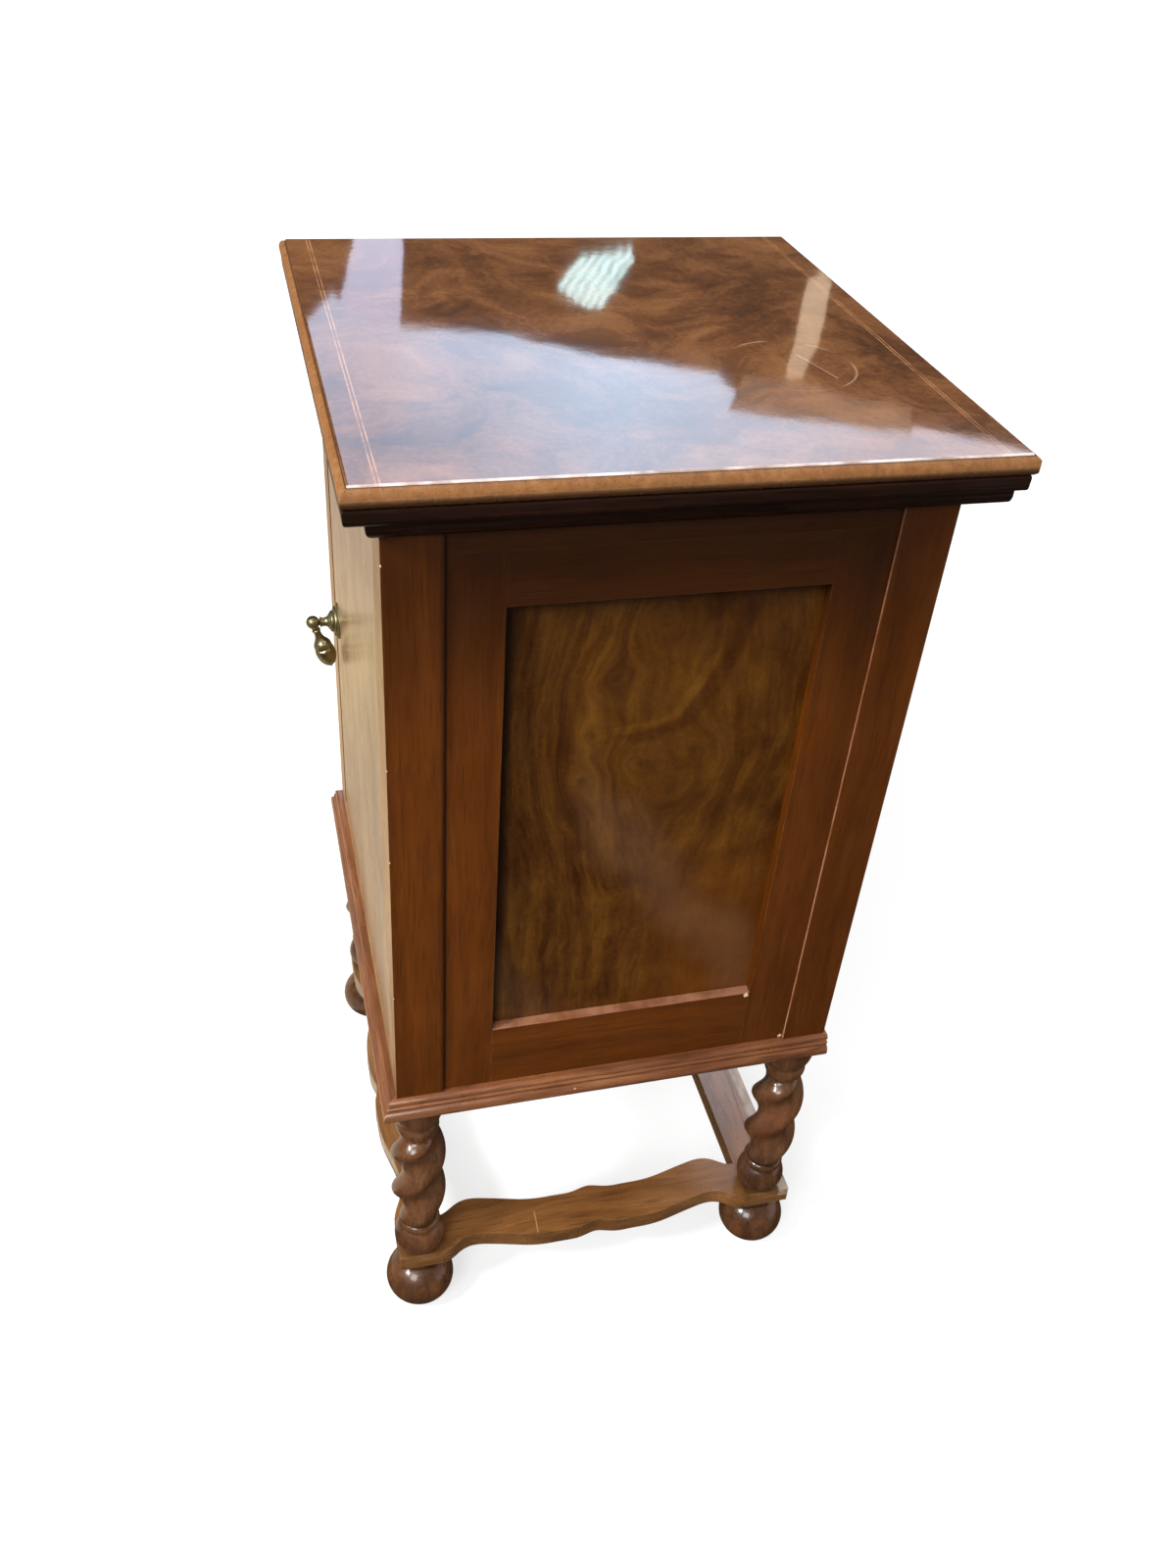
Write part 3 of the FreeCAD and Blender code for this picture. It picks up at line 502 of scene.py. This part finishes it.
def stretcher_wood(axis):
    """Flat stretchers, with painted shade near the legs: a scratch across the right one, a
    rubbed back edge on the back one.
    """
    s = Shader("stretcher_walnut_" + axis)
    where, own = s.places()
    colour, relief = straight_grain(s, own, axis, STRETCHER_SHADES, contrast=0.8)
    colour = s.mix(s.worn_edges(own, 0.0016), colour, STRETCHER_WORN)
    # painted shade where the legs and feet shade the stretchers
    colour = s.mix(s.hollows(0.035, 0.80, 0.65), colour, STRETCHER_PAINTED_SHADE)
    mark = s.scratch(where, *STRETCHER_SCRATCH)
    colour = s.mix(s.times(mark, 0.5), colour, STRETCHER_SCRATCH_COLOUR)
    if axis == "x":
        rim = s.part(s.warp(where, 60.0, 0.006), "y")
        rim = s.span(rim, STRETCHER_RIM_Y - 0.011, STRETCHER_RIM_Y - 0.008)
        broken = s.noise(s.vector("MULTIPLY", own, (0.35, 1.0, 1.0)), 160.0, 3.0, 0.6)
        rubbed = s.times(s.span(broken, 0.30, 0.65, 0.35, 1.0), rim)
        colour = s.mix(s.times(rubbed, 0.65), colour, STRETCHER_RUBBED)
    return s.surface(colour, s.uneven(own, 0.30), relief, specular_ior_level=0.45,
                     coat_weight=1.0, coat_roughness=0.2)


PANEL_X = 0.1885
PANEL_KNOTS = (      # y, z, size, how strongly the grain bends, darkness of the heart
    (-0.0514, 0.5985, 0.009, 1.7, 0.9), (-0.0102, 0.6123, 0.013, 1.8, 0.6),
    (0.0147, 0.5874, 0.019, 1.3, 0.35), (-0.0444, 0.6373, 0.008, 1.5, 0.5),
    (-0.0298, 0.6836, 0.010, 1.4, 0.6), (0.0230, 0.6200, 0.010, 1.5, 0.5),
    (-0.0040, 0.7270, 0.009, 1.3, 0.5), (0.0400, 0.6900, 0.080, 0.5, 0.0))
CROTCH = ((0.0440, 0.7400), (0.0400, 0.7130), (0.0282, 0.6779), (0.0063, 0.6500),
          (-0.0262, 0.6430))        # y, z along the line where the figure forks
PANEL_TONES = [(0.22, srgb(43, 19, 3)), (0.40, srgb(66, 34, 5)), (0.56, srgb(83, 48, 8)),
               (0.80, srgb(108, 67, 15))]
PANEL_LEFT = srgb(40, 16, 2)
PANEL_WARM = srgb(98, 50, 6)
PANEL_HEARTS = srgb(34, 20, 8)
PANEL_PAINTED_SHADOW = srgb(22, 9, 2)
PANEL_PAINTED_REFLECTION = srgb(118, 86, 64)
STILE_EDGE_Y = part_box("side_right_stile_front")[1].y
RAIL_EDGE_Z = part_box("side_right_rail_top")[0].z


def knot(s, where, centre, size, push):
    """How far the grain is bent round a knot, and a mask of its dark heart."""
    offset = s.vector("SUBTRACT", where, centre)
    away = s.length(offset)
    near = s.add(1.0, s.math("POWER", s.math("DIVIDE", away, size), 2.0))
    shove = s.scaled(offset, s.math("DIVIDE", push, near))
    return shove, s.span(away, 0.55 * size, 0.15 * size)


def crotch_line(s, where, shift, width):
    """Mask of the curved line where the figure forks."""
    points = [(PANEL_X, y + shift[0], z + shift[1]) for y, z in CROTCH]
    return s.most(*(s.scratch(where, a, b, width) for a, b in zip(points, points[1:])))


def panel_figure(s, own, mirror, across):
    """Tone of the panels' burr, its knots' hearts, and its specks."""
    ragged = s.warp(s.warp(mirror, 12.0, 0.022), 60.0, 0.005)
    bent, hearts = ragged, 0.0
    for y, z, size, push, dark in PANEL_KNOTS:
        shove, heart = knot(s, ragged, (PANEL_X, y, z), size, push)
        bent = s.vector("SUBTRACT", bent, shove)
        hearts = s.most(hearts, s.times(heart, dark))
    upright = s.vector("MULTIPLY", bent, (1.0, 1.0, 0.13))
    streaks = s.noise(upright, 70.0, 5.0, 0.6, 0.2)
    fine = s.noise(upright, 300.0, 2.0, 0.6)
    clouds = s.noise(bent, 26.0, 4.0, 0.6)
    specks = s.noise(own, 300.0, 2.0, 0.6)
    leftward = s.span(across, 0.03, -0.06, 0.45, 1.0)
    rightward = s.span(across, -0.06, 0.05, 0.35, 0.9)
    tone = s.add(0.5, s.times(s.sway(streaks, 1.15), leftward), s.sway(fine, 0.35),
                 s.times(s.sway(clouds, 0.75), rightward), s.sway(specks, 0.2),
                 s.times(crotch_line(s, ragged, (0, 0), 0.0060), 0.11),
                 s.times(crotch_line(s, ragged, (0.0100, -0.0050), 0.0090), -0.11))
    return tone, hearts, specks


def panel_painted_reflection(s, mirror, across, up):
    """Mask of the painted reflection: a milky band and a milky lower corner on the panels."""
    slant = s.add(up, s.times(across, 1.35), s.sway(s.noise(mirror, 20.0, 2.0), 0.08))
    band = s.times(s.span(slant, 0.46, 0.51), s.span(slant, 0.58, 0.53),
                   s.span(across, -0.07, -0.03))
    return s.most(band, s.times(s.span(slant, 0.34, 0.27), 0.7))


def panel_veneer():
    """Burr walnut of the side panels: upright streaks, knots, painted shade and shadow, and a
    painted reflection. The left panel mirrors the right one."""
    s = Shader("panel_burr")
    where, own = s.places()
    across, up = s.part(where, "y"), s.part(where, "z")
    mirror = s.join(s.absolute(s.part(where, "x")), across, up)
    tone, hearts, specks = panel_figure(s, own, mirror, across)
    colour = s.ramp(tone, PANEL_TONES)
    colour = s.mix(s.span(across, -0.02, -0.08, 0.0, 0.2), colour, PANEL_LEFT)
    warm = s.times(s.span(across, -0.03, 0.06), s.span(up, 0.56, 0.46))
    colour = s.mix(s.times(warm, 0.5), colour, PANEL_WARM)
    colour = s.mix(s.times(hearts, 0.6), colour, PANEL_HEARTS)
    colour = painted_cornice_shade(s, where, colour, 0.30)
    # painted shadow along the panel's left edge, from the front stile, and along its top, from
    # the top rail
    painted_shadow = s.most(s.span(across, STILE_EDGE_Y + 0.012, STILE_EDGE_Y + 0.002, 0.0, 0.80),
                   s.span(up, RAIL_EDGE_Z - 0.016, RAIL_EDGE_Z - 0.003, 0.0, 0.60))
    colour = s.mix(painted_shadow, colour, PANEL_PAINTED_SHADOW)
    # painted reflection: a milky haze over the panel's polish
    painted_reflection = s.times(panel_painted_reflection(s, mirror, across, up), 0.20)
    colour = s.mix(painted_reflection, colour, PANEL_PAINTED_REFLECTION)
    return s.surface(colour, s.uneven(own, 0.32), s.bump(specks, SPECK_DEPTH),
                     specular_ior_level=0.18, coat_weight=0.28, coat_roughness=0.16)


DOOR_WORN = srgb(196, 160, 116)


def door_veneer():
    """The door's veneer, under a satin polish."""
    s = Shader("door_burr")
    where, own = s.places()
    colour, specks = front_veneer(s, where)
    colour = s.mix(s.worn_edges(own, amount=0.25), colour, DOOR_WORN)
    return s.surface(colour, s.uneven(own, 0.34), s.bump(specks, SPECK_DEPTH),
                     specular_ior_level=0.3, coat_weight=0.5, coat_roughness=0.2)


TOP_TONES = [(0.24, srgb(54, 29, 14)), (0.42, srgb(88, 52, 27)), (0.58, srgb(116, 74, 42)),
             (0.80, srgb(140, 95, 58))]
STRING_INSETS = (0.0158, 0.0182)        # two lines, from the top board's edge
STRING_WIDTH = 0.0009
STRING_COLOUR = srgb(186, 134, 92)
GLASS_RING = (0.068, 0.108, 0.845)
GLASS_RING_RADIUS = 0.0445
TOP_SCRATCH = ((0.0496, 0.1195, 0.845), (0.0929, 0.1321, 0.845), 0.0009)
TOP_MARKS = srgb(206, 164, 128)
TOP_PAINTED_HIGHLIGHT = srgb(236, 220, 214)
RIPPLE_HEIGHT = 0.00022


def stringing(s, across):
    """Mask of two thin inlaid lines along the front edge of the top and two along the back."""
    low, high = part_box("top_board")
    lines = [s.apart(across, edge + inward * inset)
             for edge, inward in ((low.y, 1), (high.y, -1)) for inset in STRING_INSETS]
    return s.most(*(s.span(off, 0.65 * STRING_WIDTH, 0.3 * STRING_WIDTH) for off in lines))


def glass_ring(s, where):
    """Mask of what is left of the ring that a wet glass made."""
    off = s.apart(s.length(s.vector("SUBTRACT", where, GLASS_RING)), GLASS_RING_RADIUS)
    return s.times(s.span(off, 0.0013, 0.0003), s.span(s.noise(where, 22.0), 0.50, 0.66))


def top_veneer():
    """Dark burr walnut under a high polish, with stringing, a few marks and a painted highlight
    along its right edge.
    """
    s = Shader("top_burr_walnut")
    where, own = s.places()
    blotches, streaks, specks = burr_figure(s, own)
    tone = s.add(0.5, s.sway(blotches, 1.0), s.sway(streaks, 0.35), s.sway(specks, 0.25))
    colour = s.ramp(tone, TOP_TONES)
    faded = s.span(s.noise(own, 60.0, 3.0), 0.35, 0.6, 0.25, 0.8)
    colour = s.mix(s.times(stringing(s, s.part(where, "y")), faded), colour, STRING_COLOUR)
    marks = s.most(glass_ring(s, where), s.scratch(where, *TOP_SCRATCH))
    colour = s.mix(s.times(marks, 0.4), colour, TOP_MARKS)
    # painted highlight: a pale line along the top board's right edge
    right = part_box("top_board")[1].x
    rim = s.span(s.part(where, "x"), right - 0.0014, right - 0.0009)
    rubbed = s.span(s.noise(own, 34.0, 3.0, 0.6), 0.35, 0.6, 0.35, 0.9)
    colour = s.mix(s.times(rim, rubbed), colour, TOP_PAINTED_HIGHLIGHT)
    ripples = s.add(s.noise(own, 9.0, 2.0), s.times(s.noise(own, 70.0, 3.0, 0.6), 0.06))
    return s.surface(colour, 0.6, polish=s.bump(ripples, RIPPLE_HEIGHT),
                     specular_ior_level=0.0, coat_weight=1.0, coat_roughness=0.045,
                     coat_ior=1.5)


METAL_SCRATCH_DEPTH = 0.00002


def metal(name, colour, stain, roughness):
    """Old metal: stained in patches, with fine scratches in its shine."""
    s = Shader(name)
    _, own = s.places()
    patina = s.noise(own, 170.0, 4.0, 0.6, 0.5)
    fine = s.noise(own, 900.0, 2.0, 0.6)
    shade = s.mix(s.span(patina, 0.42, 0.66, 0.0, 0.6), colour, stain)
    bright = tuple(min(1, 1.6 * channel) for channel in colour)
    shade = s.mix(s.worn_edges(own, 0.0008), shade, bright)
    rough = s.add(s.span(patina, 0.3, 0.7, roughness - 0.05, roughness + 0.15),
                  s.times(fine, 0.06))
    return s.surface(shade, rough, s.bump(fine, METAL_SCRATCH_DEPTH), metallic=1.0)


def aged_brass():
    return metal("aged_brass", srgb(148, 141, 106), srgb(84, 81, 58), 0.30)


def brass():
    return metal("brass", srgb(196, 158, 92), srgb(120, 88, 46), 0.32)


def steel():
    return metal("steel", srgb(160, 158, 152), srgb(96, 90, 82), 0.32)


GRAINED = {     # slots whose finish follows the longest side of the piece
    "stretcher_wood": stretcher_wood, "moulding_wood": moulding_wood,
    "cornice_wood": cornice_wood, "edge_wood": edge_wood, "frame_wood": frame_wood,
    "inner_wood": inner_wood,
}
PLAIN = {
    "leg_wood": leg_wood, "top_veneer": top_veneer, "panel_veneer": panel_veneer,
    "door_veneer": door_veneer, "brass": brass, "aged_brass": aged_brass, "steel": steel,
}
BOARDS = ("stretcher_wood", "moulding_wood", "cornice_wood", "frame_wood", "inner_wood",
          "door_veneer", "top_veneer", "panel_veneer")
ARRIS = 0.0004
WELD_REACH = 0.000002
SHARP = math.radians(40)        # corners sharper than this are eased


def longest_axis(name):
    low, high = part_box(name)
    size = high - low
    return "xyz"[max(range(3), key=lambda i: size[i])]


def ease_arrises(piece):
    """Join the faces at their corners and round the arrises by a hair, as sanding does."""
    weld = piece.modifiers.new("weld", "WELD")
    weld.merge_threshold = WELD_REACH
    bevel = piece.modifiers.new("arrises", "BEVEL")
    bevel.width = ARRIS
    bevel.segments = 2
    bevel.limit_method = "ANGLE"
    bevel.angle_limit = SHARP


def finish_nodes():
    made = {}
    for name, piece in NODES.items():
        slot = SLOTS[name]
        axis = longest_axis(name) if slot in GRAINED else None
        if (slot, axis) not in made:
            made[slot, axis] = GRAINED[slot](axis) if axis else PLAIN[slot]()
        piece.data.materials.clear()
        piece.data.materials.append(made[slot, axis])
        if slot in BOARDS:
            ease_arrises(piece)


# ---- stage and light ----------------------------------------------------------------

WHITE = (1, 1, 1)


def mesh_object(name, points, material):
    """One flat face."""
    mesh = bpy.data.meshes.new(name)
    mesh.from_pydata(points, [], [tuple(range(len(points)))])
    mesh.materials.append(material)
    made = bpy.data.objects.new(name, mesh)
    bpy.context.scene.collection.objects.link(made)
    return made


def lying(low, high, z):
    """Corners of a level rectangle."""
    return [(low[0], low[1], z), (high[0], low[1], z), (high[0], high[1], z),
            (low[0], high[1], z)]


def standing(start, end, height):
    """Corners of an upright rectangle that stands on the floor."""
    return [(*start, 0), (*end, 0), (*end, height), (*start, height)]


def sees_backdrop(s):
    """1 for the rays of the camera, of polish and of clear glass, which see a white backdrop."""
    path = s.node("LightPath").outputs
    return s.most(path["Is Camera Ray"], path["Is Glossy Ray"], path["Is Transmission Ray"])


FLOOR_REACH = 14.0
FLOOR_COLOUR = (0.36, 0.36, 0.36)
FLOOR_GLOW = 0.66           # added to the floor's own light near the cabinet
FLOOR_GLOW_FAR = 1.0        # and further out, where the lamps don't reach
FLOOR_GLOW_RISES = (0.7, 3.2)   # distances between which it changes


def make_floor():
    s = Shader("pale_floor")
    glow = s.span(s.length(s.coordinates()), *FLOOR_GLOW_RISES, FLOOR_GLOW, FLOOR_GLOW_FAR)
    glow = s.node("Emission", {"Color": WHITE, "Strength": s.times(glow, sees_backdrop(s))})
    diffuse = s.node("BsdfDiffuse", {"Color": FLOOR_COLOUR})
    both = s.node("AddShader", {0: diffuse.outputs[0], 1: glow.outputs[0]})
    s.node("OutputMaterial", {0: both.outputs[0]})
    corner = (FLOOR_REACH, FLOOR_REACH)
    floor = mesh_object("floor", lying((-FLOOR_REACH, -FLOOR_REACH), corner, 0), s.material)


WORLD_LIGHT = 0.38
CEILING_SHINE = 0.25        # what polish shows of the world overhead
CEILING_STARTS = (0.35, 0.65)   # how far up a ray points, where 1 is straight up


def make_world():
    world = bpy.data.worlds.new("studio")
    bpy.context.scene.world = world
    world.use_nodes = True
    s = Shader(tree=world.node_tree)
    height = s.part(s.coordinates("Generated"), "z")
    path = s.node("LightPath").outputs
    shine = s.most(s.span(height, *CEILING_STARTS, 1.0, CEILING_SHINE), path["Is Camera Ray"])
    strength = s.node("Mix", {0: sees_backdrop(s), 2: WORLD_LIGHT, 3: shine}).outputs[0]
    back = s.node("Background", {"Color": WHITE, "Strength": strength})
    s.node("OutputWorld", {0: back.outputs[0]})


LAMPS = (       # name, place, size, power in watts, whether polish shows it
    ("key", (0.90, -2.20, 2.40), 0.5, 88, True),
    ("fill", (2.20, -1.60, 2.50), 1.1, 68, True),
    ("fill_left", (-2.60, -0.90, 1.90), 1.6, 46, False),
    ("fill_back", (0.50, 3.00, 2.00), 1.6, 56, False),
)
LAMPS_AIM = Vector((0, 0, 0.4))


def make_lights():
    for name, place, size, power, in_polish in LAMPS:
        data = bpy.data.lights.new(name, "AREA")
        data.size = size
        data.energy = power
        made = bpy.data.objects.new(name, data)
        made.visible_glossy = in_polish
        made.location = place
        made.rotation_mode = "QUATERNION"
        made.rotation_quaternion = (LAMPS_AIM - Vector(place)).to_track_quat("-Z", "Y")
        bpy.context.scene.collection.objects.link(made)


# ---- what the polish shows ----------------------------------------------------------

def plain_glow(name, colour, strength=1.0):
    return Shader(name).glow(colour, strength)


def soft_glow(name, colour, strength, centre, radius):
    """A glow that fades out towards the rim of its card."""
    s = Shader(name)
    off = s.length(s.vector("SUBTRACT", s.coordinates(), centre))
    return s.glow(colour, s.span(off, 0.35 * radius, radius, strength, 0.0))


TUBES_ACROSS = (0.0, 0.824, 0.567)      # direction from one tube to the next
TUBES_PITCH = 0.026


def rippled_glow(name, colour, dim, bright):
    """The tubes of a ceiling light, seen through ripples in the polish."""
    s = Shader(name)
    across = s.dot(s.warp(s.coordinates(), 16.0, 0.035), TUBES_ACROSS)
    wave = s.math("SINE", s.times(across, 2 * math.pi / TUBES_PITCH))
    return s.glow(colour, s.span(wave, -0.9, 0.6, dim, bright))


FRONT_FLOOR_TANS = [(0.0, srgb(206, 190, 172)), (0.45, srgb(220, 204, 182)),
                    (0.58, srgb(246, 226, 180)), (0.70, srgb(206, 192, 166)),
                    (1.0, srgb(236, 222, 198))]


def floor_glow(name, reach):
    """A shop floor in front of the cabinet, in bands of tan."""
    s = Shader(name)
    where = s.coordinates()
    broken = s.add(s.part(where, "x"), s.sway(s.noise(where, 4.0, 2.0), 0.5))
    return s.glow(s.ramp(s.math("DIVIDE", s.add(broken, reach), reach), FRONT_FLOOR_TANS))


DAYLIGHT = [(0.08, (2.0, 2.4, 3.2)), (0.38, (2.8, 3.9, 5.2)), (0.80, (3.1, 3.1, 3.6))]


def window_glow(name):
    """A window's daylight, in a soft unevenness of blue and lilac from left to right."""
    s = Shader(name)
    where = s.coordinates()
    along = s.add(s.part(where, "y"), s.sway(s.noise(where, 2.5, 2.0), 0.5))
    return s.glow(s.ramp(s.times(along, 0.42), DAYLIGHT))


WALL_X = -3.0
WALL = [(-2.5, 0.0), (6.0, 0.0), (6.0, 4.5), (-2.5, 4.5)]       # outlines are y, z
WINDOW = [(0.06, 1.80), (0.17, 1.89), (0.58, 1.94), (0.95, 2.02), (1.25, 2.08), (1.36, 2.17),
          (1.68, 2.235), (2.08, 2.29), (2.41, 2.37), (2.9, 2.5), (2.9, 4.3), (-0.10, 4.3),
          (-0.06, 1.93)]
WINDOW_STRIP = [(0.15, 1.60), (0.27, 1.60), (0.25, 1.93), (0.05, 1.93)]
CEILING_LIGHT = [(0.776, 1.71), (0.93, 1.685), (0.942, 1.72), (0.852, 1.856), (0.81, 1.86),
                 (0.71, 1.80)]
DOORWAY = [(1.50, 1.79), (1.55, 1.76), (1.585, 1.79), (1.575, 1.97), (1.54, 2.10),
           (1.48, 2.10)]
TAN_WALL = [(1.333, 2.085), (1.54, 2.115), (1.70, 2.155), (1.95, 2.205), (1.97, 2.30),
            (1.30, 2.20)]
FLAG_RIGHT = ((3.4, -3.6), (3.4, 3.4))      # x, y of where the card stands
FLAG_FRONT = ((-3.0, -3.6), (3.4, -3.6))
FLAG_HEIGHT = 3.4
FLAG_COLOUR = (0.074, 0.054, 0.034)
SHOP_FLOOR_REACH = 2.6
SHOP_FLOOR_COLOUR = (0.075, 0.050, 0.028)
FRONT_FLOOR = ((-2.2, -1.6), (0.1, -0.2))
SKYLIGHT = ((-0.6, -1.2), (0.8, 0.2))
SKYLIGHT_Z = 2.9


def card(name, points, material):
    """A glowing card that only the polish of the cabinet shows."""
    made = mesh_object(name, points, material)
    made.visible_camera = False
    made.visible_diffuse = False
    made.visible_shadow = False


def wall_card(name, outline, material, forward=0.02):
    card(name, [(WALL_X + forward, y, z) for y, z in outline], material)


def make_reflections():
    """A dim shop with a window, a ceiling light and a doorway."""
    wall_card("dark_room", WALL, plain_glow("dark_room", (0.13, 0.10, 0.08)), 0.0)
    wall_card("window", WINDOW, window_glow("window"))
    wall_card("window_strip", WINDOW_STRIP,
              plain_glow("window_strip", (0.66, 0.74, 1.0), 3.0), 0.01)
    wall_card("ceiling_light", CEILING_LIGHT,
              rippled_glow("ceiling_light", (0.66, 0.98, 1.0), 2.0, 5.5))
    wall_card("doorway", DOORWAY, plain_glow("doorway", (1.0, 0.78, 0.56), 2.0))
    wall_card("tan_wall", TAN_WALL, plain_glow("tan_wall", (0.85, 0.62, 0.48), 1.15), 0.03)
    card("flag_right", standing(*FLAG_RIGHT, FLAG_HEIGHT),
         plain_glow("flag_right", FLAG_COLOUR))
    card("flag_front", standing(*FLAG_FRONT, FLAG_HEIGHT),
         plain_glow("flag_front", FLAG_COLOUR))
    reach = SHOP_FLOOR_REACH
    card("shop_floor", lying((-reach, -reach), (reach, reach), 0.002),
         plain_glow("shop_floor", SHOP_FLOOR_COLOUR))
    card("front_floor", lying(*FRONT_FLOOR, 0.004), floor_glow("front_floor", 2.2))
    card("skylight", lying(*SKYLIGHT, SKYLIGHT_Z),
         soft_glow("skylight", (0.82, 0.86, 1.0), 4.0, (0.1, -0.5, SKYLIGHT_Z), 0.7))


# ---- the scene ----------------------------------------------------------------------

def main():
    make_camera()
    make_world()
    make_floor()
    make_lights()
    make_reflections()
    finish_nodes()
    bpy.context.scene.view_settings.view_transform = "Standard"


main()
